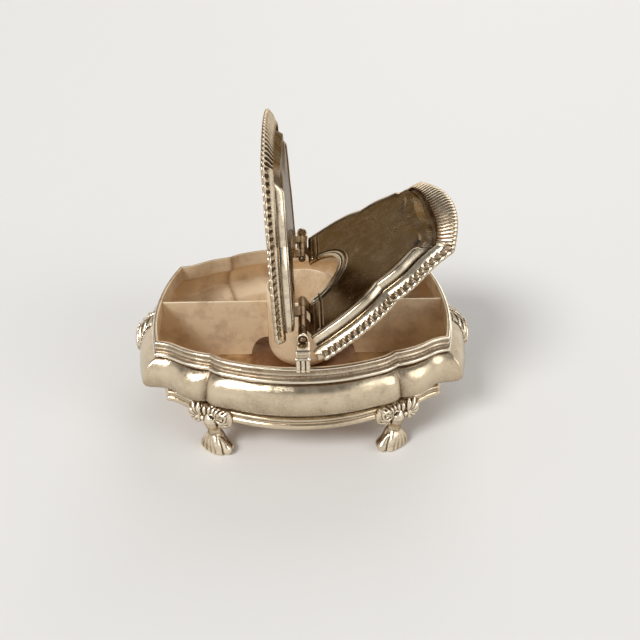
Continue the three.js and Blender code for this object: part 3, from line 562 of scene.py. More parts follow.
# Steps of the hinge strip and the collar, as shares of their width and of their rise
def stripProfile(width):
    steps = ((0, 1), (0.27, 1), (0.3, 0.85), (0.33, 0.1), (0.35, 0), (0.37, 0.1), (0.4, 0.45), (0.43, 0.5),
             (0.6, 0.5), (0.63, 0.42), (0.67, 0), (0.74, 0), (0.79, 0.35), (0.82, 0.45), (0.85, 0.35), (0.9, 0.02),
             (1, 0))
    return [(share * width, rise * panel["stripRise"]) for share, rise in steps]


# The sheet's outer part, from the border over the ridge to the field, as inset, level and how brown it is: tarnish
# and painted shade in the groove and at the foot of the ridge, rubbed bright metal and painted highlight along the
# ridge's step and crest
def cushionRun(gap, groove, field):
    ridge, rubAndHighlight = -cushion["ridgeDrop"], -0.9
    low, step, crest = cushion["groove"], cushion["stepInset"], cushion["ridgeInset"]
    run = [(gap, wireTop - 0.3, 1.0), (gap + 0.04, groove + 0.12, 1.2), (low, groove, 1.2)]
    rise = curvePoints((low + 0.35, groove + 0.3), (step - 0.55, ridge - 1.1), (step - 0.1, ridge - 0.75), 7)
    rise += arcPoints((step + 0.12, ridge - 0.85), 0.22, 120, 20, 4)
    run += [(inset, z, 0.5 - 0.55 * i if i < 3 else rubAndHighlight) for i, (inset, z) in enumerate(rise)]
    run += [(step + 0.5, ridge - 0.78, 0.35), (crest - 0.55, ridge - 0.14, -0.6), (crest - 0.2, ridge - 0.02, rubAndHighlight)]
    run += [(crest + 0.15, ridge, rubAndHighlight), (crest + 0.5, ridge - 0.1, -0.6), (crest + 0.8, ridge - 0.26, 0.4)]
    foot = cushion["inset"]
    run += [(foot - 0.4, field + 0.05, 0.6), (foot, field, 0.5), (foot + 1.2, field, 0.1), (foot + 2.4, field, 0.0)]
    return run + [(foot + 3.5, field, 0.0)]


# Lines from the lid's edge to its hinge side: along the strip, then turning round the cut-out to the lid's end
def panelLines():
    straight = [(panel["stripStart"] + x, rise) for x, rise in stripProfile(panel["stripWidth"])]
    swing = [(0, 0.5 + 0.5 * step / 10) for step in range(10)]
    for span, count in ((1, 8), (2, 14), (3, 10), (4, 24)):
        swing += [(span, step / count) for step in range(count)]
    firstTurn = math.asin(straight[-1][0] / collar["hole"])
    lines = [{"x": x, "rise": rise} for x, rise in straight]
    for index, (span, share) in enumerate(swing):
        turn = firstTurn + (math.pi / 2 - firstTurn) * (index + 1) / (len(swing) + 1)
        lines.append({"span": span, "share": share, "turn": turn, "rise": 0.0})
    middle = {"span": endKey - 1, "share": 1.0, "turn": math.pi / 2, "rise": 0.0, "sy": 1}
    return [dict(line, sy=-1) for line in lines] + [middle] + [dict(line, sy=1) for line in lines][::-1]


# Where a line meets the lid's outline at an inset. A straight line's x is found by halving.
def outside(line, inset):
    if "x" not in line:
        return lidPoint((line["span"], line["share"], line["sy"]), inset)
    low, high = 0.0, 1.0
    for _ in range(24):
        middle = (low + high) / 2
        if lidPoint((0, middle, 1), inset)[0] < line["x"]:
            low = middle
        else:
            high = middle
    return np.array([line["x"], line["sy"] * lidPoint((0, low, 1), inset)[1]])


# Where a line meets a circle round the beaker
def inside(line, radius):
    if "x" not in line:
        return np.array([radius * math.sin(line["turn"]), line["sy"] * radius * math.cos(line["turn"])])
    return np.array([line["x"], line["sy"] * math.sqrt(radius**2 - line["x"] ** 2)])


# How far the ridge has turned into the gentle rise
def gentleShare(line):
    fading = endKey - 2
    if line.get("span", 0) == fading:
        return eased(line["share"], *cushion["fade"])
    return 1.0 if line.get("span", 0) > fading else 0.0


def makeLidPanel(side):
    gap, low = lidRim["width"] + panel["seam"], cushion["groove"]
    groove, field = wireTop - cushion["grooveDepth"], -panel["drop"]
    outer = cushionRun(gap, groove, field)
    under = [(cushion["ridgeInset"], field - panel["sheet"]), (low + 0.9, groove - 0.2)]
    under.append((gap, wireTop - lidRim["edge"]))
    collarSteps = stripProfile(collar["width"])[::-1]
    stripStop = panel["stripStart"] + panel["stripWidth"] * 0.9
    rings, marks = [], []
    for line in panelLines():
        soft, rise = gentleShare(line), line["rise"]
        inGroove = rise < 0.05 and line.get("x", stripStop) < stripStop
        ring, brown = [], []
        for index, (inset, z, mark) in enumerate(outer):
            if inset > low:
                gentle = mixed((groove, field), eased(inset, low, low + cushion["gentleReach"]))
                z += (gentle - z) * soft + (rise if inset >= cushion["inset"] else 0)
                mark += ((cushion["gentleBrown"] if inset < cushion["gentleStop"] else 0.0) - mark) * soft
            ring.append((*outside(line, inset), z))
            brown.append(max(mark, panel["grooveBrown"]) if inGroove and index >= len(outer) - 4 else mark)
        start = outside(line, outer[-1][0])
        stop = inside(line, collar["hole"] + collar["width"])
        inner = [(*(start + (stop - start) * share), field + rise, 0.0) for share in panel["fieldShares"]]
        for x, z in collarSteps:
            sunk = z < 0.05 and x < collar["width"] * 0.9
            proud = min(abs(x / collar["width"] - crest) for crest in collar["crests"]) < 0.02
            mark = collar["brown"] if sunk else collar["rubAndHighlight"] if proud else 0.0
            inner.append((*inside(line, collar["hole"] + x), field + max(rise, z), mark))
        inner.append((*inside(line, collar["hole"]), field - panel["sheet"], panel["lipBrown"]))
        inner += [(*outside(line, inset), z, panel["underBrown"]) for inset, z in under]
        rings.append(ring + [point[:3] for point in inner])
        marks.append(brown + [max(point[3], panel["grooveBrown"]) if inGroove else point[3] for point in inner])
    makeLidPiece("lidPanel", "lid_panel_", rings, marks, side, "lidSheet", 28)


print("building the body")
bodyShell = makeBodyShell().data
makeRimMoulding()
makeBaseMoulding()
makeCup()
for side in (1, -1):
    makeDivider(side)

print("building the lids")
for side in ("left", "right"):
    makeGadroonBorder(side)
    makeLidPanel(side)

# Knuckles, pins and the floor of the box

barrel = {"radius": 1.9, "bore": 1.0, "gap": 0.3, "inner": collar["hole"] + 1.6, "outer": 46.5, "bevel": 0.12}
leaf = {
    "reach": 4.15, "level": -5.4, "half": 0.3, "neck": 1.25, "neckTop": -1.0, "bend": 0.8, "closeTurn": 298,
    "endBrown": 0.9, "brown": 0.15,
}


# A strip rolled round the pin, with a neck down to the leaf that lies under the lid sheet
def makeKnuckle(side, start, stop, node):
    middle = (barrel["radius"] + barrel["bore"]) / 2
    half = (barrel["radius"] - barrel["bore"]) / 2
    level, neck, bend = leaf["level"], leaf["neck"], leaf["bend"]
    run = [(leaf["reach"], level), (leaf["reach"] - 1, level)]
    run += curvePoints((neck + bend, level), (neck, level), (neck, level + bend), 6)
    rolled = [(neck, level / 2), (neck, leaf["neckTop"])]
    rolled += arcPoints((0, 0), middle, -math.degrees(math.acos(neck / middle)), leaf["closeTurn"], 40)
    widths = [leaf["half"]] * len(run) + [half] * len(rolled)
    run += rolled

    def outline(inset):
        sides = [[offsetRun(run, way * (width - inset))[i] for i, width in enumerate(widths)] for way in (1, -1)]
        return sides[0] + sides[1][::-1]

    bevel, end, brown = barrel["bevel"], leaf["endBrown"], leaf["brown"]
    levels = ((start, bevel, end), (start + bevel, 0, brown), (stop - bevel, 0, brown), (stop, bevel, end))
    rings = [[(x, y, z) for x, z in outline(inset)] for y, inset, _ in levels]
    marks = [[mark] * len(rings[0]) for _, _, mark in levels]
    name = node.replace("knuckle_", "rolledKnuckle_")
    made = loftObject(name, openLid(rings, side), recess=marks, place=rings)
    settle(made, node, "lid_" + side, "hingeSilver")


# Each lid has two knuckles on one pin and one on the other
def makeLidKnuckles(side):
    near, far = ("rear", "front") if side == "left" else ("front", "rear")
    length = (barrel["outer"] - barrel["inner"] - 2 * barrel["gap"]) / 3
    starts = [barrel["inner"] + index * (length + barrel["gap"]) for index in range(3)]
    for start, spot in ((starts[0], "inner"), (starts[2], "outer")):
        makeKnuckle(side, -(start + length), -start, f"knuckle_{side}_{near}_{spot}")
    makeKnuckle(side, starts[1], starts[1] + length, f"knuckle_{side}_{far}_middle")


pin = {"radius": 0.9, "headRadius": 1.2, "headHeight": 0.7, "bevel": 0.15, "pole": 0.01}


def makePin(end):
    node = "hinge_pin_" + end
    tip, head = sorted(abs(corner.y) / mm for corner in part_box(node))
    radius, bevel, headBack = pin["radius"], pin["bevel"], head - pin["headHeight"]
    profile = [(pin["pole"], tip), (radius - bevel, tip), (radius, tip + bevel), (radius, headBack)]
    dome = pin["headHeight"] - bevel
    for turn in np.radians(range(0, 90, 10)):
        profile.append((pin["headRadius"] * math.cos(turn), headBack + bevel + dome * math.sin(turn)))
    profile.append((pin["pole"], head))
    sign = -1 if end == "front" else 1
    made = lathe("headedPin" + end.capitalize(), [(r, sign * y) for r, y in profile], 48, "Y")
    made.data.transform(Matrix.Translation((0, 0, hingeHeight * mm)))
    settle(made, node, "box", "hingeSilver")


floorSheet = {"reach": -2.7, "bevel": 0.2, "steps": (10, 4, 6, 4, 12)}


def makeFloorSheet():
    bottom, top = levelsOf("floor_plate")
    reach, bevel = floorSheet["reach"], floorSheet["bevel"]
    stations = stationsRound(floorSheet["steps"])
    rings = []
    for out, z in ((reach - bevel, bottom), (reach, bottom + bevel), (reach, top - bevel), (reach - bevel, top)):
        rings.append([(*rimPoint(station, out, -wallHeight)[:2], z) for station in stations])
    settle(loftObject("floorSheet", rings), "floor_plate", "box", "floorSilver")


print("building the hinges")
for side in ("left", "right"):
    makeLidKnuckles(side)
for end in ("front", "rear"):
    makePin(end)
makeFloorSheet()

# Cast pieces are first shaped as soft-edged lumps on a grid, where values below zero lie inside the metal

casting = {
    "start": 4.0, "border": 0.05,  # values of an empty block, and the least at its border
    "markPasses": 2, "markGain": 6, "smoothAngle": 60, "softening": 0.5, "passes": 2,
}


def newBlock(piece):
    step = piece["step"]
    axes = [np.arange(a, b + step, step) for a, b in zip(piece["low"], piece["high"])]
    return {"axes": axes, "step": step, "values": np.full([len(axis) for axis in axes], casting["start"])}


def softMin(first, second, blend):
    near = np.maximum(blend - np.abs(first - second), 0) / blend
    return np.minimum(first, second) - near * near * blend / 4


def addLump(block, low, high, distance, blend, cut=False):
    pick = []
    for axis, a, b in zip(block["axes"], low, high):
        first, last = np.searchsorted(axis, (a - blend - 1, b + blend + 1))
        pick.append(slice(int(first), int(last) + 1))
    grid = np.meshgrid(*[axis[part] for axis, part in zip(block["axes"], pick)], indexing="ij", sparse=True)
    if any(axis.size == 0 for axis in grid):
        return
    far = distance(*grid)
    here = block["values"][tuple(pick)]
    block["values"][tuple(pick)] = -softMin(-here, far, blend) if cut else softMin(here, far, blend)


def addBall(block, centre, radii, blend, cut=False):
    radii = np.array([radii] * 3 if np.isscalar(radii) else radii, float)
    reach = radii.max()

    def distance(x, y, z):
        gaps = [axis - middle for axis, middle in zip((x, y, z), centre)]
        scaled = np.sqrt(sum((gap / radius) ** 2 for gap, radius in zip(gaps, radii)))
        steep = np.sqrt(sum((gap / radius**2) ** 2 for gap, radius in zip(gaps, radii)))
        return scaled * (scaled - 1) / np.maximum(steep, 1e-6)

    addLump(block, np.array(centre) - reach, np.array(centre) + reach, distance, blend, cut)


# A tapering bar with round ends through a run of points
def addBar(block, points, radii, blend, cut=False):
    points = np.asarray(points, float)
    radii = np.broadcast_to(np.asarray(radii, float), (len(points),))
    for start, stop, thin, thick in zip(points[:-1], points[1:], radii[:-1], radii[1:]):
        run = stop - start
        length = max(float(run @ run), 1e-9)

        def distance(x, y, z):
            gaps = [axis - at for axis, at in zip((x, y, z), start)]
            along = np.clip(sum(gap * way for gap, way in zip(gaps, run)) / length, 0, 1)
            off = np.sqrt(sum((gap - along * way) ** 2 for gap, way in zip(gaps, run)))
            return off - (thin + along * (thick - thin))

        wide = max(thin, thick)
        addLump(block, np.minimum(start, stop) - wide, np.maximum(start, stop) + wide, distance, blend, cut)


bar = {"steps": 5, "least": 0.05}


# The same along a smooth curve through the points
def smoothBar(block, points, radii, blend):
    rows = np.column_stack([np.asarray(points, float), np.broadcast_to(np.asarray(radii, float), (len(points),))])
    padded = np.vstack([2 * rows[0] - rows[1], rows, 2 * rows[-1] - rows[-2]])
    run = []
    for i in range(1, len(padded) - 2):
        a, b, c, d = padded[i - 1 : i + 3]
        for t in np.linspace(0, 1, bar["steps"], endpoint=False):
            bent = (2 * a - 5 * b + 4 * c - d) * t**2 + (3 * b - a - 3 * c + d) * t**3
            run.append(0.5 * (2 * b + (c - a) * t + bent))
    run = np.array(run + [rows[-1]])
    addBar(block, run[:, :3], np.maximum(run[:, 3], bar["least"]), blend)


# Distance from a body with rounded edges, by its gaps along each axis
def roundedGap(gaps, rounding):
    outside = np.sqrt(sum(np.maximum(gap, 0) ** 2 for gap in gaps))
    return outside + np.minimum(reduce(np.maximum, gaps), 0) - rounding


def addBlock(block, low, high, rounding, blend):
    middle = (np.array(low) + np.array(high)) / 2
    half = (np.array(high) - np.array(low)) / 2 - rounding

    def distance(*axes):
        return roundedGap([np.abs(axis - m) - h for axis, m, h in zip(axes, middle, half)], rounding)

    addLump(block, low, high, distance, blend)


# A rod along Y
def addRod(block, centre, radius, start, stop, rounding, blend, cut=False):
    half, middle = (stop - start) / 2 - rounding, (start + stop) / 2

    def distance(x, y, z):
        around = np.sqrt((x - centre[0]) ** 2 + (z - centre[1]) ** 2) - radius + rounding
        return roundedGap((around, np.abs(y - middle) - half), rounding)

    low, high = ((centre[0] + way * radius, y, centre[1] + way * radius) for way, y in ((-1, start), (1, stop)))
    addLump(block, low, high, distance, blend, cut)


# The skin of a block as one closed mesh of four-sided faces, and how hollow or proud each corner lies
def skinOf(block):
    values = block["values"].copy()
    for axis in range(3):
        edge = [slice(None)] * 3
        for index in (0, -1):
            edge[axis] = index
            values[tuple(edge)] = np.maximum(values[tuple(edge)], casting["border"])
    shape = np.array(values.shape) - 1
    total, crossings = np.zeros([*shape, 3]), np.zeros(shape)

    def valuesAt(corner):
        return values[tuple(slice(at, at + size) for at, size in zip(corner, shape))]

    for corner in [(i, j, k) for i in (0, 1) for j in (0, 1) for k in (0, 1)]:
        for axis in [i for i in range(3) if not corner[i]]:
            across = tuple(1 if i == axis else value for i, value in enumerate(corner))
            first, second = valuesAt(corner), valuesAt(across)
            crossed = (first < 0) != (second < 0)
            share = np.where(crossed, first / np.where(crossed, first - second, 1), 0)
            for i in range(3):
                total[..., i] += np.where(crossed, corner[i] + (share if i == axis else 0), 0)
            crossings += crossed
    used = crossings > 0
    number = np.full(used.shape, -1)
    number[used] = np.arange(used.sum())
    spots = np.argwhere(used) + total[used] / crossings[used][:, None]
    points = np.array([axis[0] for axis in block["axes"]]) + spots * block["step"]
    inside = values < 0
    faces = []
    for axis in range(3):
        ahead, behind = [slice(None)] * 3, [slice(None)] * 3
        ahead[axis], behind[axis] = slice(1, None), slice(None, -1)
        first, second = [i for i in range(3) if i != axis]
        cell = np.argwhere(inside[tuple(behind)] != inside[tuple(ahead)])
        cell = cell[(cell[:, first] > 0) & (cell[:, second] > 0)]
        quad = []
        for corner in ((1, 1), (0, 1), (0, 0), (1, 0)):
            beside = cell.copy()
            beside[:, (first, second)] -= corner
            quad.append(number[tuple(beside.T)])
        quad = np.stack(quad, 1)
        turned = inside[tuple(behind)][tuple(cell.T)] == (axis == 1)
        quad[turned] = quad[turned][:, ::-1]
        faces.append(quad)
    # The marks give tarnish and painted shade where the skin is hollow, and rubbed bright metal and painted
    # highlight where it is proud
    soft = values.copy()
    for _ in range(casting["markPasses"]):
        for axis in range(3):
            soft = (np.roll(soft, 1, axis) + 2 * soft + np.roll(soft, -1, axis)) / 4
    bend = (soft - values)[:-1, :-1, :-1][used] / block["step"]
    return points, np.vstack(faces), np.clip(-bend * casting["markGain"], -1, 1)


# One cast copy of a skin, turned or mirrored by its signs
def castCopy(name, node, points, faces, depth, sx, sy):
    faces = [tuple(map(int, face)) for face in faces]
    made = meshObject(name, points * np.array([sx, sy, 1]), faces, casting["smoothAngle"], depth)
    smooth = made.modifiers.new("softened", "SMOOTH")
    smooth.factor = casting["softening"]
    smooth.iterations = casting["passes"]
    settled = bpy.data.meshes.new_from_object(made.evaluated_get(bpy.context.evaluated_depsgraph_get()))
    made.modifiers.clear()
    made.data = settled
    settle(made, node, "box", "castSilver")


# Outlines of the body at the rim moulding and at the full swell
roomStations = stationsRound((12, 6, 8, 6, 12))
rimOutline = np.array([rimPoint(station, 0, 0)[:2] for station in roomStations])
swellOutline = np.array([rimPoint(station, *wall["swell"], 1.0)[:2] for station in roomStations])


# Distance of points beyond an outline, negative inside it
def distanceBeyond(outline, x, y):
    spots = np.stack([x.ravel(), y.ravel()], 1)
    run = np.roll(outline, -1, 0) - outline
    share = ((spots[:, None] - outline) * run).sum(2) / (run * run).sum(1)
    gap = spots[:, None] - outline - np.clip(share, 0, 1)[..., None] * run
    distance = np.sqrt((gap**2).sum(2)).min(1)
    above = (outline[:, 1] > spots[:, 1:2]) != (np.roll(outline, -1, 0)[:, 1] > spots[:, 1:2])
    rise = np.where(run[:, 1] == 0, 1e-9, run[:, 1])
    crossing = (spots[:, 1:2] - outline[:, 1]) / rise * run[:, 0] + outline[:, 0]
    inside = (above & (spots[:, 0:1] < crossing)).sum(1) % 2 == 1
    return np.where(inside, -distance, distance).reshape(x.shape)


# A slab across X with its outline drawn in Y and Z
def addSlab(block, outline, halfWidth, rounding, blend):
    flat = distanceBeyond(np.asarray(outline, float), *np.meshgrid(*block["axes"][1:], indexing="ij"))[None]
    across = np.abs(block["axes"][0])[:, None, None] - halfWidth
    far = roundedGap((across + rounding, flat + rounding), rounding)
    block["values"] = softMin(block["values"], far, blend)


nowhere = -30  # a reach far inside the box, where a moulding has no face
bodyGap = 0.2


# Reach of the face of the body and its mouldings at heights above the ground, and the share of the full swell
def faceAt(z):
    below = [point for point in wallFace(24)[::-1] if point[1] < -rimMould["height"]]
    wallReach = np.interp(z, [rimHeight + point[1] for point in below], [point[0] for point in below], left=nowhere)
    rimFace = rimMould["beadReach"] + rimMould["beadRadius"]
    reaches = [wallReach, np.where(z > rimHeight - rimMould["height"], rimFace, nowhere)]
    roll, bead = baseMould["rollRadius"], baseMould["beadRadius"]
    for centre, radius in ((wallFoot + roll, roll), (wallFoot + baseMould["height"] - bead, bead)):
        bulge = 1 - ((z - centre) / radius) ** 2
        reaches.append(np.where(bulge > 0, baseMould["reach"] + radius * np.sqrt(np.maximum(bulge, 0)), nowhere))
    reach = np.max(reaches, 0)
    return reach, np.where(reach == wallReach, np.clip(wallReach / wall["swell"][0], 0, None), 0)


# Clears the metal from where the body stands, by the places of the grid in the box's plan
def clearBody(block, x, y):
    reach, fullness = faceAt(block["axes"][2])
    slim = distanceBeyond(rimOutline, x, y)[..., None]
    full = distanceBeyond(swellOutline, x, y)[..., None] + wall["swell"][0]
    room = reach + bodyGap - slim * (1 - fullness) - full * fullness
    block["values"] = np.maximum(block["values"], room)


# Feet, drawn from the outline's crease, with X towards the end of the box, Y outwards and Z up

cuspTurn = math.radians(sum(rimPlan[2]["slope"]) / 2)
cuspAt = np.array(rimPlan[2]["at"])
footAcross = np.array([math.cos(cuspTurn), -math.sin(cuspTurn)])
footOut = np.array([math.sin(cuspTurn), math.cos(cuspTurn)])

foot = {
    "low": (-11.0, -4.0, -0.1), "high": (14.6, 9.6, 27.2), "step": 0.28,
    "ankle": (0.7, 1.9, 10.8), "ankleRadius": 2.5, "seatReach": 20,
    # Centre, radii and blend of the pad, and of the small one at its side
    "pads": (((-1.0, 1.9, 2.4), (8.1, 4.8, 2.8), 0.8), ((6.5, 2.2, 2.4), (1.4, 1.9, 2.2), 0.6)),
    # Places across and radii of the toes
    "toes": ((5.2, 1.6), (2.8, 1.5), (0.4, 1.4), (-2.0, 1.4), (-4.2, 1.4)), "bigToe": (-7.0, 2.1),
    # Balls of the shield behind the knee: places across, reach, level, radii and blend
    "shield": (((-6.9, -3.2, 0.5, 4.2, 7.9), 1.0, 20.4, (3.3, 2.3, 5.0), 1.2),
               ((-5.0, 1.0, 6.5), 0.6, 17.6, (4.0, 2.3, 2.9), 0.9)),
    # Root of each fan of leaf lobes, as place, level and reach, and the tips, as place, level and girth
    "fans": (((5.8, 18.9, 3.1), ((7.2, 25.6, 1.2), (10.2, 25.4, 1.3), (12.5, 22.8, 1.5), (12.7, 19.4, 1.45),
                                 (11.0, 16.9, 1.35), (8.0, 15.2, 1.2))),
             ((-4.2, 17.6, 2.7), ((-9.3, 19.8, 0.95), (-8.7, 17.4, 1.0), (-6.6, 15.6, 1.0), (-3.8, 14.8, 0.9)))),
    "crestLobes": (-8.2, -5.8, -3.4, -1.0, 1.5, 4.2),
    "eye": (-0.4, 20.6), "boss": (1.7, 16.2),
    "coil": {"start": 2.6, "radius": 2.1, "tighten": 0.2, "turns": 1.35, "steps": 26, "girth": (0.72, 0.5)},
    "loop": ((-2.6, 22.0), (-4.9, 23.3), (-7.6, 22.9), (-7.5, 20.6), (-5.8, 18.4), (-3.6, 18.2), (-2.2, 19.4)),
    "beads": ((2.3, 10.9, 0.85), (0.4, 10.6, 0.85), (0.9, 7.4, 0.75), (-1.5, 11.1, 0.6)),
}


def shapeFoot():
    block = newBlock(foot)
    outlineX, outlineY = (rimOutline - cuspAt) @ footAcross, (rimOutline - cuspAt) @ footOut
    near = np.maximum(np.abs(outlineX), np.abs(outlineY)) < foot["seatReach"]
    order = np.argsort(outlineX[near])
    seatX, seatY = outlineX[near][order], outlineY[near][order]

    # Reach from the rim's outline, where the foot is seated
    def seat(x, out):
        return float(np.interp(x, seatX, seatY)) + out

    # Paw: a pad, the instep and the toes
    ax, ay, az = foot["ankle"]
    ankle = foot["ankleRadius"]
    addBall(block, *foot["pads"][0])
    smoothBar(block, [(ax, ay, az + 1), (ax - 0.2, ay, 8.2), (-0.4, 2.3, 4.6)], [ankle, 2.7, 4.6], 1.4)
    for x, radius in foot["toes"]:
        tip = 1.9 + 4.9 * math.sqrt(1 - ((x + 1.2) / 8.9) ** 2) - radius * 0.55
        line = [(ax + 0.42 * (x - ax), ay + 1.9, az - 2.0), (ax + 0.7 * (x - ax), 0.5 * (ay + tip) + 1.4, 6.0)]
        line += [(x * 0.97, tip - 0.3, 3.3), (x, tip - 0.1, 1.3)]
        smoothBar(block, line, [0.9, 1.25, radius, radius * 0.9], 1.2)
        addBall(block, (x * 0.97, tip + radius * 0.5, 3.0), radius * 0.55, 0.15)
    x, radius = foot["bigToe"]
    line = [(-1.6, ay + 1.6, az - 1.8), (-4.4, 3.4, 6.6), (x, 3.7, 3.4), (x - 0.2, 3.7, 2.3)]
    smoothBar(block, line, [0.6, 1.2, radius, radius], 0.3)
    addBall(block, *foot["pads"][1])

    # Knee: a shield that laps the base moulding
    smoothBar(block, [(ax, ay, az), (1.0, 2.1, 13.2), (1.2, 2.2, 17.5)], [ankle, 2.8, 4.2], 0.8)
    for places, out, level, radii, blend in foot["shield"]:
        for x in places:
            addBall(block, (x, seat(x, out), level), radii, blend)

    # Leaf lobes that fan out from one root at each side of the knee, each with a fold
    for (rootX, rootZ, out), tips in foot["fans"]:
        for tipX, tipZ, girth in tips:
            midX, midZ = 0.4 * rootX + 0.6 * tipX, 0.4 * rootZ + 0.6 * tipZ
            line = [(rootX, seat(rootX, out - 0.6), rootZ), (midX, seat(midX, out), midZ)]
            smoothBar(block, line + [(tipX, seat(tipX, 1.6), tipZ)], [0.7, girth, girth * 0.7], 0.18)
            addBar(block, [(x * 0.97, seat(x, out + girth * 0.75), z) for x, _, z in line], [0.3, 0.34], 0.1)

    # Folded leaves along the top edge
    top = wallFoot + baseMould["height"] + 0.2
    for x in foot["crestLobes"]:
        line = [(x, seat(x, 1.1), top), (0.86 * x + 0.3, seat(x, 2.6), top - 1.5)]
        smoothBar(block, line + [(0.7 * x + 0.5, seat(x, 3.2), top - 3.4)], [0.85, 1.15, 0.7], 0.15)

    # Bead, scroll and loop on the knee, and the boss under them
    addBall(block, (4.3, seat(4.3, 3.6), 18.9), 1.5, 0.12)
    (eyeX, eyeZ), coil = foot["eye"], foot["coil"]
    turned = np.linspace(0, coil["turns"] * 2 * math.pi, coil["steps"])
    winding = [(t + coil["start"], coil["radius"] - coil["tighten"] * t) for t in turned]
    scroll = [(eyeX + r * math.cos(t), seat(eyeX, 3.7), eyeZ + r * math.sin(t)) for t, r in winding]
    addBall(block, (eyeX, seat(eyeX, 3.8), eyeZ), (1.9, 1.0, 1.9), 0.2, cut=True)
    addBar(block, scroll, np.linspace(*coil["girth"], coil["steps"]), 0.1)
    addBar(block, [(-4.0, seat(-4.0, 3.5), 20.6), (-6.0, seat(-6.0, 3.4), 21.0)], [1.0, 1.3], 0.3, cut=True)
    smoothBar(block, [(x, seat(x, 3.1), z) for x, z in foot["loop"]], 0.7, 0.1)
    addBar(block, [(-3.2, seat(-3.2, 3.1), 20.0), (-6.3, seat(-6.3, 3.0), 21.9)], [0.55, 0.7], 0.1)
    bossX, bossZ = foot["boss"]
    addBall(block, (bossX, seat(bossX, 2.9), bossZ), (1.9, 1.5, 1.4), 0.25)
    for side in (-1, 1):
        line = [(bossX + side * 1.6, seat(bossX, 3.2), bossZ + 0.2), (1.4 + side * 2.4, seat(2.0, 2.0), 14.6)]
        smoothBar(block, line + [(ax + side * 1.9, ay + 1.2, az + 1.2)], [0.5, 0.75, 0.5], 0.2)
    for x, z, radius in foot["beads"]:
        out = math.sqrt(max(0, ankle**2 - (x - ax) ** 2)) + (1.2 if z < 9 else 0)
        addBall(block, (x, ay + out, z), radius, 0.12)

    xs, ys, zs = block["axes"]
    gridX, gridY = np.meshgrid(xs, ys, indexing="ij")
    clearBody(block, *(cuspAt[i] + footAcross[i] * gridX + footOut[i] * gridY for i in (0, 1)))
    block["values"] = np.maximum(block["values"], -zs[None, None, :])
    return skinOf(block)


def makeFeet():
    points, faces, depth = shapeFoot()
    flat = cuspAt + points[:, 0:1] * footAcross + points[:, 1:2] * footOut
    world = np.column_stack([flat, points[:, 2]])
    for end, sy in (("front", -1), ("rear", 1)):
        for hand, sx in (("left", -1), ("right", 1)):
            name = "pawFoot" + end.capitalize() + hand.capitalize()
            castCopy(name, f"foot_{end}_{hand}", world, faces, depth, sx, sy)


# End ornaments: a leaf that springs out under the rim, curls over and hangs in a point

ornament = {
    "low": (70.6, -10.8, 21.0), "high": (91.6, 10.8, 47.6), "step": 0.28, "width": 18.2, "tipWidth": 5.0,
    "spine": ((0.5, 8.4), (6.5, 9.5), (14.5, 18), (12.2, 29)),  # reach beyond the rim's end and drop below the rim
    "proud": (1.7, 0.8), "back": (3.6, 0.7), "dish": 1.7, "spineSteps": 160,
    "lobes": {"count": 4, "start": 0.3, "notch": 0.84, "depth": 0.14, "round": 0.7}, "taper": 3.2,
    "curl": {"at": (0.58, 2.1), "radii": (0.035, 0.75), "turn": 4.6, "steps": 12, "girth": (0.45, 0.75)},
    # Where each rib starts by the middle and ends at the edge, as shares of the length, and its girth
    "ribs": ((0.06, 0.2, 0.85), (0.2, 0.4, 1.05), (0.36, 0.58, 1.2), (0.52, 0.74, 1.2), (0.66, 0.88, 1.0)),
}


def halfSpread(share):
    lobes = ornament["lobes"]
    lobe = np.abs(np.sin(math.pi * (lobes["count"] * share + lobes["start"])))
    plain = mixed((ornament["width"], ornament["tipWidth"]), share ** ornament["taper"]) / 2
    return plain * (lobes["notch"] + lobes["depth"] * lobe ** lobes["round"])


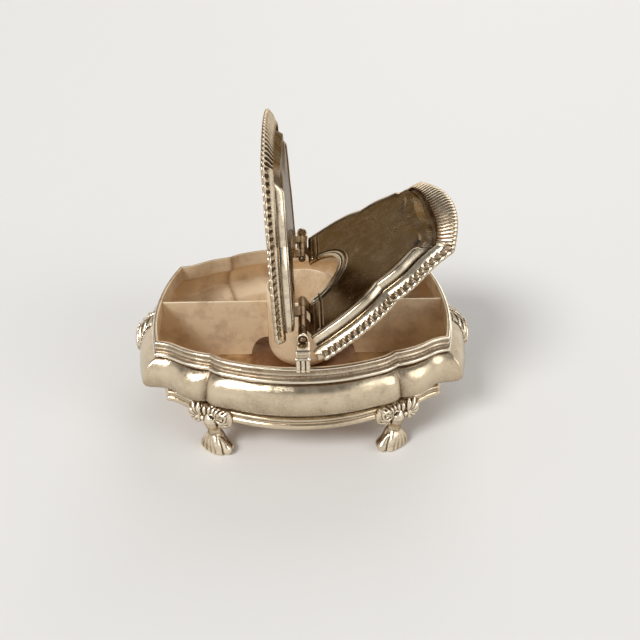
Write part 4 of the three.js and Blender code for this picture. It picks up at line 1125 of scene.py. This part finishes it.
def shapeOrnament():
    block = newBlock(ornament)
    xs, ys, zs = block["axes"]
    end = rimPlan[endKey]["at"][0]
    a, b, c, d = (np.array([end + reach, rimHeight - drop]) for reach, drop in ornament["spine"])
    shares = np.linspace(0, 1, ornament["spineSteps"])
    t = shares[:, None]
    run = (1 - t) ** 3 * a + 3 * t * (1 - t) ** 2 * b + 3 * t * t * (1 - t) * c + t**3 * d
    heading = np.gradient(run, axis=0)
    heading = heading / np.linalg.norm(heading, axis=1)[:, None]

    # Each place of the grid by its nearest point of the spine
    flatX, flatZ = np.meshgrid(xs, zs, indexing="ij")
    gapX, gapZ = flatX.reshape(-1, 1) - run[:, 0], flatZ.reshape(-1, 1) - run[:, 1]
    nearest = np.argmin(gapX**2 + gapZ**2, 1)
    pick = np.arange(len(nearest))
    gapX, gapZ, (wayX, wayZ) = gapX[pick, nearest], gapZ[pick, nearest], heading[nearest].T
    grids = (gapX * wayX + gapZ * wayZ, gapZ * wayX - gapX * wayZ, shares[nearest])
    along, out, share = (values.reshape(len(xs), 1, len(zs)) for values in grids)
    beyond = np.where((share <= 0) | (share >= 1), np.abs(along), 0)
    across = np.abs(ys[None, :, None]) / halfSpread(share)
    thick = np.where(out > 0, mixed(ornament["proud"], share**2), mixed(ornament["back"], share**3))
    dish = -ornament["dish"] * (1 - share**2) * across**2
    swell = np.sqrt(((out - dish) / thick) ** 2 + np.minimum(across, 3) ** 3.0 + (beyond / thick) ** 2)
    block["values"] = np.clip((swell - 1) * np.minimum(thick, 2.0), -3, 3)

    # A point on the leaf by its share of the length, its place across and its height off the middle of the sheet
    def leafPoint(share, y, lift):
        x, z, wayX, wayZ = (np.interp(share, shares, rows[:, i]) for rows in (run, heading) for i in (0, 1))
        off = lift - ornament["dish"] * (1 - share**2) * (y / halfSpread(share)) ** 2
        return (x - wayZ * off, y, z + wayX * off)

    # Ribs that fan out from the middle to the edge, each with a round end, and the rolled edge
    curl = ornament["curl"]
    (curlShare, curlAcross), (long, wide) = curl["at"], curl["radii"]
    winding = [(math.cos(t), math.sin(t)) for t in np.linspace(0, curl["turn"], curl["steps"])]
    for side in (-1, 1):
        for start, stop, girth in ornament["ribs"]:
            edge, proud = side * halfSpread(stop), mixed(ornament["proud"], start**2)
            middle = mixed((start, stop), 0.45)
            line = [leafPoint(start, side * 0.9, proud * 0.8), leafPoint(middle, edge * 0.5, proud)]
            line += [leafPoint(stop, edge * 0.92, 0.7), leafPoint(stop + 0.04, edge, -0.3)]
            smoothBar(block, line, [0.5, girth * 0.85, girth, girth * 0.75], 0.16)
        lower = [leafPoint(share, side * halfSpread(share) * 0.97, 0.0) for share in np.linspace(0.1, 0.97, 12)]
        addBar(block, lower, np.linspace(1.05, 0.8, 12), 0.2)
        scroll = [leafPoint(curlShare + long * c, side * (curlAcross + wide * s), 2.3) for c, s in winding]
        addBar(block, scroll, np.linspace(*curl["girth"], curl["steps"]), 0.15)
    spine = [leafPoint(share, 0, 1.6 * (1 - share) + 0.6) for share in (0.04, 0.3, 0.5)]
    smoothBar(block, spine, [0.5, 0.8, 0.7], 0.3)
    addBar(block, [leafPoint(0.6, y, 1.9 - 0.06 * y * y) for y in np.linspace(-3.6, 3.6, 9)], 0.85, 0.25)
    for y in (-1.9, 0, 1.9):
        finger = [leafPoint(0.64, y, 1.9), leafPoint(0.78, y * 0.8, 1.5), leafPoint(0.97, y * 0.35, 0.4)]
        smoothBar(block, finger, [0.75, 0.85, 0.6], 0.14)
    addBall(block, leafPoint(0.99, 0, 0.1), (1.1, 1.2, 1.4), 0.3)
    clearBody(block, *np.meshgrid(xs, ys, indexing="ij"))
    return skinOf(block)


def makeOrnaments():
    skin = shapeOrnament()
    for hand, turn in (("right", 1), ("left", -1)):
        castCopy("endLeaf" + hand.capitalize(), "end_ornament_" + hand, *skin, turn, turn)


# Hinge posts, drawn with their height above the rim and their reach out from the middle

post = {
    "low": (-4.2, 45.6, -1.9), "high": (4.2, 63.2, 15.4), "step": 0.19,
    "width": 6.2, "out": 61.3, "back": 58.9, "foot": 0.2, "shoulder": 7.0, "overRim": 60.9,
    "eye": {"radius": 2.7, "front": 55.5, "back": 54.2, "ring": 1.95, "ringDepth": 0.45},
    "lug": {"radius": 1.95, "back": 46.8},
    "brow": ((58.9, 6.5), (61.3, 6.5), (61.4, 7.2), (61.4, 8.6), (61.1, 9.4), (60.2, 9.9), (57.8, 10.2),
             (55.5, 10.25), (54.3, 10.25), (54.3, 8.3)),
    "brace": ((58.9, 5.4), (48.8, 10.3), (48.8, 12.0), (54.2, 12.0), (58.9, 8.6)), "braceHalf": 1.2,
    "flute": {"radius": 1.03, "sink": 0.25, "top": 5.0, "foot": -0.15},
    "band": {"radius": 0.62, "level": 5.9},
    # How brown the brow, the lug and the sunk ring are, and where each begins. The brow keeps only a share of the
    # painted shade of its hollows, and the sunk ring is dark with tarnish and painted shade
    "marks": {"browFrom": 6.2, "brow": 0.15, "lugFrom": 9, "lug": 0.75, "ringFrom": 1.3, "ringTo": 2.05,
              "ring": 1.2},
}


def shapePost():
    half, out = post["width"] / 2, post["out"]
    eye, lug, flute, band = (post[key] for key in ("eye", "lug", "flute", "band"))
    block = newBlock(post)
    addBlock(block, (-half, post["back"], post["foot"]), (half, out, post["shoulder"]), 0.25, 0.3)
    addSlab(block, post["brow"], half, 0.4, 0.15)
    addSlab(block, post["brace"], post["braceHalf"], 0.3, 0.5)
    # Flutes with round tops and scalloped feet that hang over the rim
    for place in (-1, 0, 1):
        x, y = place * (half - flute["radius"]), out - flute["sink"]
        addBar(block, [(x, y, flute["foot"]), (x, y, flute["top"])], flute["radius"], 0.06)
        addBall(block, (x, y + 0.25, flute["foot"] + 0.1), (1.1, 1.05, 1.0), 0.1)
    # Band over the flutes, and a small curl at each upper corner of the face
    addBar(block, [(0.3 - half, out, band["level"]), (half - 0.3, out, band["level"])], band["radius"], 0.08)
    for side in (-1, 1):
        addBall(block, (side * (half - 0.35), out + 0.05, band["level"]), 0.8, 0.08)
    # Eye with a sunk ring round the pin's head, and the lug that runs in behind it
    middle, front = (0, hingeRise), eye["front"]
    addRod(block, middle, eye["radius"], eye["back"], front, 0.3, 0.25)
    addRod(block, middle, lug["radius"], lug["back"], front - 0.5, 0.2, 0.2)
    addRod(block, middle, eye["ring"], front - eye["ringDepth"], front + 1, 0.1, 0.08, cut=True)
    addRod(block, middle, barrel["bore"], lug["back"] - 1, front + 1, 0.05, 0.05, cut=True)
    ys, zs = block["axes"][1:]
    overRim = np.where(zs[None, :] <= post["foot"], post["overRim"] - ys[:, None], nowhere)
    block["values"] = np.maximum(block["values"], overRim[None])
    return skinOf(block)


def makePosts():
    points, faces, depth = shapePost()
    x, y, z = points.T
    eye, marks, fromEye = post["eye"], post["marks"], np.hypot(x, z - hingeRise)
    depth = np.where((z > marks["browFrom"]) & (depth > 0), marks["brow"] * depth, depth)
    depth = np.where((y < eye["back"] - 0.2) & (z > marks["lugFrom"]), marks["lug"], depth)
    onEye = (y > eye["back"] + 0.4) & (y < eye["front"] + 0.2)
    inRing = (fromEye > marks["ringFrom"]) & (fromEye < marks["ringTo"])
    depth = np.where(onEye & inRing, marks["ring"], depth)
    raised = points + np.array([0, 0, rimHeight])
    for end, turn in (("front", -1), ("rear", 1)):
        castCopy("flutedPost" + end.capitalize(), "hinge_post_" + end, raised, faces, depth, turn, turn)


print("casting the feet, ornaments and posts")
makeFeet()
makeOrnaments()
makePosts()

# Shader groups


def addNode(tree, kind, settings=None, inputs=None):
    made = tree.nodes.new(kind)
    for key, value in (settings or {}).items():
        setattr(made, key, value)
    for key, value in (inputs or {}).items():
        if isinstance(value, bpy.types.NodeSocket):
            tree.links.new(value, made.inputs[key])
        else:
            made.inputs[key].default_value = value
    return made


# A group that takes a place and some numbers, and puts out masks and heights
def newGroup(name, numbers, results):
    tree = bpy.data.node_groups.new(name, "ShaderNodeTree")
    tree.interface.new_socket(name="Place", in_out="INPUT", socket_type="NodeSocketVector")
    for label, value in numbers.items():
        tree.interface.new_socket(name=label, in_out="INPUT", socket_type="NodeSocketFloat").default_value = value
    for label in results:
        tree.interface.new_socket(name=label, in_out="OUTPUT", socket_type="NodeSocketFloat")
    entry, leave = tree.nodes.new("NodeGroupInput"), tree.nodes.new("NodeGroupOutput")
    return tree, entry.outputs, leave.inputs


def mathNode(tree, operation, first, second=0.0, clamp=False):
    settings = {"operation": operation, "use_clamp": clamp}
    return addNode(tree, "ShaderNodeMath", settings, {0: first, 1: second}).outputs[0]


def product(tree, first, second, clamp=False):
    return mathNode(tree, "MULTIPLY", first, second, clamp)


def vectorNode(tree, operation, first, second=(0, 0, 0), result="Vector"):
    return addNode(tree, "ShaderNodeVectorMath", {"operation": operation}, {0: first, 1: second}).outputs[result]


def rampNode(tree, value, low, high, start=0.0, stop=1.0):
    inputs = {"Value": value, "From Min": low, "From Max": high, "To Min": start, "To Max": stop}
    return addNode(tree, "ShaderNodeMapRange", {"clamp": True}, inputs).outputs[0]


def noiseNode(tree, vector, scale, detail, roughness=0.5):
    inputs = {"Vector": vector, "Scale": scale, "Detail": detail, "Roughness": roughness}
    return addNode(tree, "ShaderNodeTexNoise", None, inputs).outputs[0]


def mixNode(tree, share, first, second):
    inputs = {"Factor": share, "A": first, "B": second}
    return addNode(tree, "ShaderNodeMix", {"data_type": "RGBA"}, inputs).outputs["Result"]


# Scale, detail and roughness of each noise, and the ramps that cut it
bloom = {
    "broad": (1.0, 5.0, 0.62), "fine": (1.1, 4.0, 0.7), "speck": (2.3, 2.0), "uneven": (0.3, 0.62, 0.55, 1.15),
    "patch": (0.46, 0.72), "speckCut": (0.58, 0.66), "speckPatch": (0.47, 0.6),
}


# Brown bloom with painted shade that lies in the hollows, tarnish in soft patches, and fine dark specks
def tarnishAndShadeGroup():
    numbers = {"Recess": 0.0, "Hollows": 1.0, "Patches": 0.3, "Size": 9.0}
    tree, given, result = newGroup("tarnishAndShade", numbers, ("Mask", "Specks"))
    size = addNode(tree, "ShaderNodeCombineXYZ", None, {axis: given["Size"] for axis in "XYZ"}).outputs[0]
    broad = noiseNode(tree, vectorNode(tree, "DIVIDE", given["Place"], size), *bloom["broad"])
    fine = noiseNode(tree, given["Place"], *bloom["fine"])
    speck = noiseNode(tree, given["Place"], *bloom["speck"])
    hollow = product(tree, mathNode(tree, "MAXIMUM", given["Recess"], 0.0), given["Hollows"])
    hollow = product(tree, hollow, rampNode(tree, fine, *bloom["uneven"]))
    patch = product(tree, rampNode(tree, broad, *bloom["patch"]), given["Patches"])
    tree.links.new(mathNode(tree, "ADD", hollow, patch, True), result["Mask"])
    dust, patch = rampNode(tree, speck, *bloom["speckCut"]), rampNode(tree, broad, *bloom["speckPatch"])
    tree.links.new(product(tree, dust, patch), result["Specks"])
    return tree


scratch = {
    "length": 26.0, "spacing": 0.42, "width": 0.018,
    "angles": (24, 71, 128), "tilt": (0.15, 0.1), "shift": (7.3, 3.1), "gate": (0.13, 2.0), "gateCut": (0.5, 0.6),
}


# Three sets of fine lines at different angles, each broken up by a soft noise
def scratchGroup():
    tree, given, result = newGroup("fineScratches", {}, ("Mask", "Height"))
    stretch = (1 / scratch["length"], 1 / scratch["spacing"], 1 / scratch["spacing"])
    total = None
    for index, angle in enumerate(scratch["angles"]):
        turn = (scratch["tilt"][0] * index, scratch["tilt"][1], math.radians(angle))
        shift = (scratch["shift"][0] * index, scratch["shift"][1] * index, 0.0)
        inputs = {"Vector": given["Place"], "Rotation": turn, "Location": shift}
        turned = addNode(tree, "ShaderNodeMapping", {"vector_type": "POINT"}, inputs).outputs[0]
        lines = noiseNode(tree, vectorNode(tree, "MULTIPLY", turned, stretch), 1.0, 1.0)
        band = mathNode(tree, "ABSOLUTE", mathNode(tree, "SUBTRACT", lines, 0.5))
        gate = rampNode(tree, noiseNode(tree, turned, *scratch["gate"]), *scratch["gateCut"])
        line = product(tree, rampNode(tree, band, 0.0, scratch["width"], 1.0, 0.0), gate)
        total = line if total is None else mathNode(tree, "MAXIMUM", total, line)
    tree.links.new(total, result["Mask"])
    tree.links.new(mathNode(tree, "SUBTRACT", 1.0, total), result["Height"])
    return tree


dent = {"wave": (1.5, 0.4), "grain": (0.55, 3.0, 0.6), "grainShare": 0.015}
rubbedAndHighlight = {"cut": (0.05, 0.5), "noise": (0.35, 4.0, 0.65), "noiseCut": (0.3, 0.5, 0.55, 1.0)}


# Slow waves and small dents of metal worked by hand
def dentGroup():
    tree, given, result = newGroup("softDents", {"Size": 14.0}, ("Height", "Cloud"))
    wave = noiseNode(tree, given["Place"], mathNode(tree, "DIVIDE", 1.0, given["Size"]), *dent["wave"])
    grain = noiseNode(tree, given["Place"], *dent["grain"])
    rise = product(tree, grain, dent["grainShare"])
    tree.links.new(mathNode(tree, "ADD", wave, rise), result["Height"])
    tree.links.new(grain, result["Cloud"])
    return tree


# Bright rubbed metal and painted highlight on the ridges that stand proud
def wearAndHighlightGroup():
    tree, given, result = newGroup("edgeWearAndHighlight", {"Recess": 0.0}, ("Mask",))
    proud = rampNode(tree, product(tree, given["Recess"], -1.0), *rubbedAndHighlight["cut"])
    rubAndHighlight = rampNode(tree, noiseNode(tree, given["Place"], *rubbedAndHighlight["noise"]), *rubbedAndHighlight["noiseCut"])
    tree.links.new(product(tree, proud, rubAndHighlight, True), result["Mask"])
    return tree


print("making the finishes")
groups = {"tarnishAndShade": tarnishAndShadeGroup(), "scratches": scratchGroup(), "dents": dentGroup(), "wearAndHighlight": wearAndHighlightGroup()}

# Unless a finish says otherwise, it is bare metal with a white edge and brown specks
finishes = {
    "silver": {
        "plate": (0.72, 0.60, 0.43, 1), "bright": (0.88, 0.79, 0.64, 1), "brown": (0.13, 0.07, 0.035, 1),
        "hollows": 0.95, "patches": 0.25, "patchSize": 11.0,
        "roughness": 0.17, "dentSize": 20.0, "dents": 0.25, "scratches": 0.2,
    },
    # Painted dark reflection: the lid sheet's plate is dark brown to stand in for the dark room that the flat field
    # reflects
    "lidSheet": {
        "plate": (0.145, 0.102, 0.069, 1), "bright": (0.82, 0.71, 0.54, 1), "brown": (0.055, 0.032, 0.018, 1),
        "hollows": 0.9, "patches": 0.25, "patchSize": 18.0, "edgeTint": (0.5, 0.42, 0.33, 1),
        "roughness": 0.2, "dentSize": 26.0, "dents": 0.2, "scratches": 0.42, "speck": (0.55, 0.42, 0.26, 1),
    },
    "castSilver": {
        "plate": (0.58, 0.465, 0.325, 1), "bright": (0.86, 0.76, 0.60, 1), "brown": (0.08, 0.04, 0.018, 1),
        "hollows": 1.3, "patches": 0.2, "patchSize": 7.0, "edgeTint": (0.7, 0.6, 0.47, 1),
        "roughness": 0.22, "dentSize": 5.0, "dents": 0.2, "scratches": 0.1,
    },
    # Painted light: the inside is a lighter, less metallic copy of the wall's silver, standing in for the light that
    # falls into the box
    "insideSilver": {
        "plate": (0.93, 0.76, 0.53, 1), "bright": (0.95, 0.83, 0.64, 1), "brown": (0.36, 0.20, 0.09, 1),
        "hollows": 1.0, "patches": 0.45, "patchSize": 12.0, "metallic": 0.25,
        "roughness": 0.46, "dentSize": 14.0, "dents": 0.3, "scratches": 0.3,
    },
    # Stained and darkened with painted shade from the middle of the floor outwards, between two distances; its brown
    # plate is partly tarnish and partly painted shade of the deep inside
    "floorSilver": {
        "plate": (0.58, 0.37, 0.18, 1), "bright": (0.76, 0.56, 0.34, 1), "brown": (0.19, 0.075, 0.02, 1),
        "hollows": 1.0, "patches": 0.9, "patchSize": 16.0, "metallic": 0.3, "stainAndShade": (24.0, 34.0),
        "roughness": 0.5, "dentSize": 14.0, "dents": 0.3, "scratches": 0.3,
    },
    "hingeSilver": {
        "plate": (0.27, 0.19, 0.12, 1), "bright": (0.80, 0.71, 0.56, 1), "brown": (0.09, 0.05, 0.03, 1),
        "hollows": 1.0, "patches": 0.6, "patchSize": 6.0, "edgeTint": (0.75, 0.64, 0.50, 1),
        "roughness": 0.28, "dentSize": 6.0, "dents": 0.15, "scratches": 0.3,
    },
}
# Depths of the bumps in metres, and how far brown and cloudy metal changes the roughness
surface = {
    "dentDepth": 0.001, "lineStrength": 0.15, "lineDepth": 0.0001, "brownRough": 0.3, "specks": 0.6,
    "cloud": (0.3, 0.7, -0.05, 0.07), "stainAndShade": (0.9, 0.0),
}


# A material with its nodes and the sockets of its shader
def newMaterial(name):
    material = bpy.data.materials.new(name)
    material.use_nodes = True
    tree = material.node_tree
    return material, tree, tree.nodes["Principled BSDF"].inputs


def makeFinish(name, finish):
    material, tree, shader = newMaterial(name)
    place = addNode(tree, "ShaderNodeAttribute", {"attribute_name": "place"}).outputs["Vector"]
    recess = addNode(tree, "ShaderNodeAttribute", {"attribute_name": "recess"}).outputs["Fac"]

    def groupNode(key, inputs):
        return addNode(tree, "ShaderNodeGroup", {"node_tree": groups[key]}, {"Place": place, **inputs}).outputs

    sizes = {"Hollows": finish["hollows"], "Patches": finish["patches"], "Size": finish["patchSize"]}
    tarnishAndShade = groupNode("tarnishAndShade", {"Recess": recess, **sizes})
    scratches = groupNode("scratches", {})
    dents = groupNode("dents", {"Size": finish["dentSize"]})
    wearAndHighlight = groupNode("wearAndHighlight", {"Recess": recess})
    stainedAndShaded = tarnishAndShade["Mask"]
    if "stainAndShade" in finish:
        reach = vectorNode(tree, "LENGTH", vectorNode(tree, "MULTIPLY", place, (1, 1, 0)), result="Value")
        stainedAndShaded = mathNode(tree, "ADD", stainedAndShaded, rampNode(tree, reach, *finish["stainAndShade"], *surface["stainAndShade"]), True)
    # Rubbed bright metal and painted highlight on the proud parts, then tarnish and painted shade in the hollows
    colour = mixNode(tree, wearAndHighlight["Mask"], finish["plate"], finish["bright"])
    colour = mixNode(tree, stainedAndShaded, colour, finish["brown"])
    scratched = product(tree, scratches["Mask"], finish["scratches"])
    colour = mixNode(tree, scratched, colour, finish["bright"])
    specks = product(tree, tarnishAndShade["Specks"], surface["specks"])
    colour = mixNode(tree, specks, colour, finish.get("speck", finish["brown"]))
    tree.links.new(colour, shader["Base Color"])
    rough = product(tree, tarnishAndShade["Mask"], surface["brownRough"])
    rough = mathNode(tree, "ADD", rough, finish["roughness"])
    cloud = rampNode(tree, dents["Cloud"], *surface["cloud"])
    tree.links.new(mathNode(tree, "ADD", rough, cloud, True), shader["Roughness"])
    shader["Metallic"].default_value = finish.get("metallic", 1.0)
    shader["Specular Tint"].default_value = finish.get("edgeTint", (1, 1, 1, 1))
    bump = {"Height": dents["Height"], "Strength": finish["dents"], "Distance": surface["dentDepth"]}
    wavy = addNode(tree, "ShaderNodeBump", None, bump).outputs["Normal"]
    bump = {"Height": scratches["Height"], "Strength": surface["lineStrength"], "Distance": surface["lineDepth"]}
    lined = addNode(tree, "ShaderNodeBump", None, {**bump, "Normal": wavy}).outputs["Normal"]
    tree.links.new(lined, shader["Normal"])
    return material


materials = {name: makeFinish(name, finish) for name, finish in finishes.items()}
for name, finish in finishOf.items():
    bpy.data.objects[name].data.materials.append(materials[finish])

# The inner face of the wall has the finish of the inside, painted lighter than the outside
bodyShell.materials.append(materials["insideSilver"])
faceCount = len(wallFace())
lined = [int(index % (2 * faceCount) >= faceCount) for index in range(len(bodyShell.polygons))]
bodyShell.polygons.foreach_set("material_index", lined)

print("setting the stage, the lights and the camera")
stage = {"halfSize": 60.0, "colour": (0.80, 0.79, 0.77, 1), "roughness": 0.6, "gloss": 0.2}


def makeFloor():
    half = stage["halfSize"]
    mesh = bpy.data.meshes.new("floor")
    mesh.from_pydata([(-half, -half, 0), (half, -half, 0), (half, half, 0), (-half, half, 0)], [], [(0, 1, 2, 3)])
    material, _, shader = newMaterial("floorPaint")
    shader["Base Color"].default_value = stage["colour"]
    shader["Roughness"].default_value = stage["roughness"]
    shader["Specular IOR Level"].default_value = stage["gloss"]
    mesh.materials.append(material)
    placeObject("floor", mesh)


# Distant soft lamps: the direction that each shines from, its power, and its width in degrees
lamps = {
    "keyLamp": ((-0.75, -0.7, 1.0), 2.0, 22),
    "fillLamp": ((1.0, -0.55, 0.75), 0.6, 34),
    "rearLamp": ((0.3, 1.0, 0.9), 0.6, 40),
}


def makeLamp(name, towards, power, spread):
    data = bpy.data.lights.new(name, "SUN")
    data.energy = power
    data.angle = math.radians(spread)
    lamp = placeObject(name, data)
    lamp.location = towards
    lamp.rotation_euler = Vector(towards).to_track_quat("Z", "Y").to_euler()


# Pale walls and a dim ceiling: the strength below and above, and the heights between which it changes
studio = {"colour": (1.0, 0.98, 0.95, 1), "low": 0.84, "high": 0.22, "change": (0.38, 0.62)}


def makeWorld():
    world = bpy.data.worlds.new("studio")
    bpy.context.scene.world = world
    world.use_nodes = True
    tree = world.node_tree
    background = tree.nodes["Background"].inputs
    background["Color"].default_value = studio["colour"]
    place = addNode(tree, "ShaderNodeTexCoord").outputs["Generated"]
    upward = addNode(tree, "ShaderNodeSeparateXYZ", None, {0: place}).outputs["Z"]
    strength = rampNode(tree, upward, *studio["change"], studio["low"], studio["high"])
    tree.links.new(strength, background["Strength"])


view = {
    "place": Vector((1.3, -283.2, 218.2)) * mm, "target": Vector((8.9, 0, 40.0)) * mm,
    "roll": -0.12, "lens": 36.06,
}


def makeCamera():
    data = bpy.data.cameras.new("camera")
    data.lens = view["lens"]
    data.sensor_width = 36
    data.clip_start = 0.01
    camera = placeObject("camera", data)
    aim = (view["target"] - view["place"]).to_track_quat("-Z", "Y").to_matrix()
    camera.matrix_world = (aim @ Matrix.Rotation(math.radians(view["roll"]), 3, "Z")).to_4x4()
    camera.location = view["place"]
    bpy.context.scene.camera = camera


makeFloor()
for name, lamp in lamps.items():
    makeLamp(name, *lamp)
makeWorld()
makeCamera()
bpy.context.scene.view_settings.view_transform = "Standard"
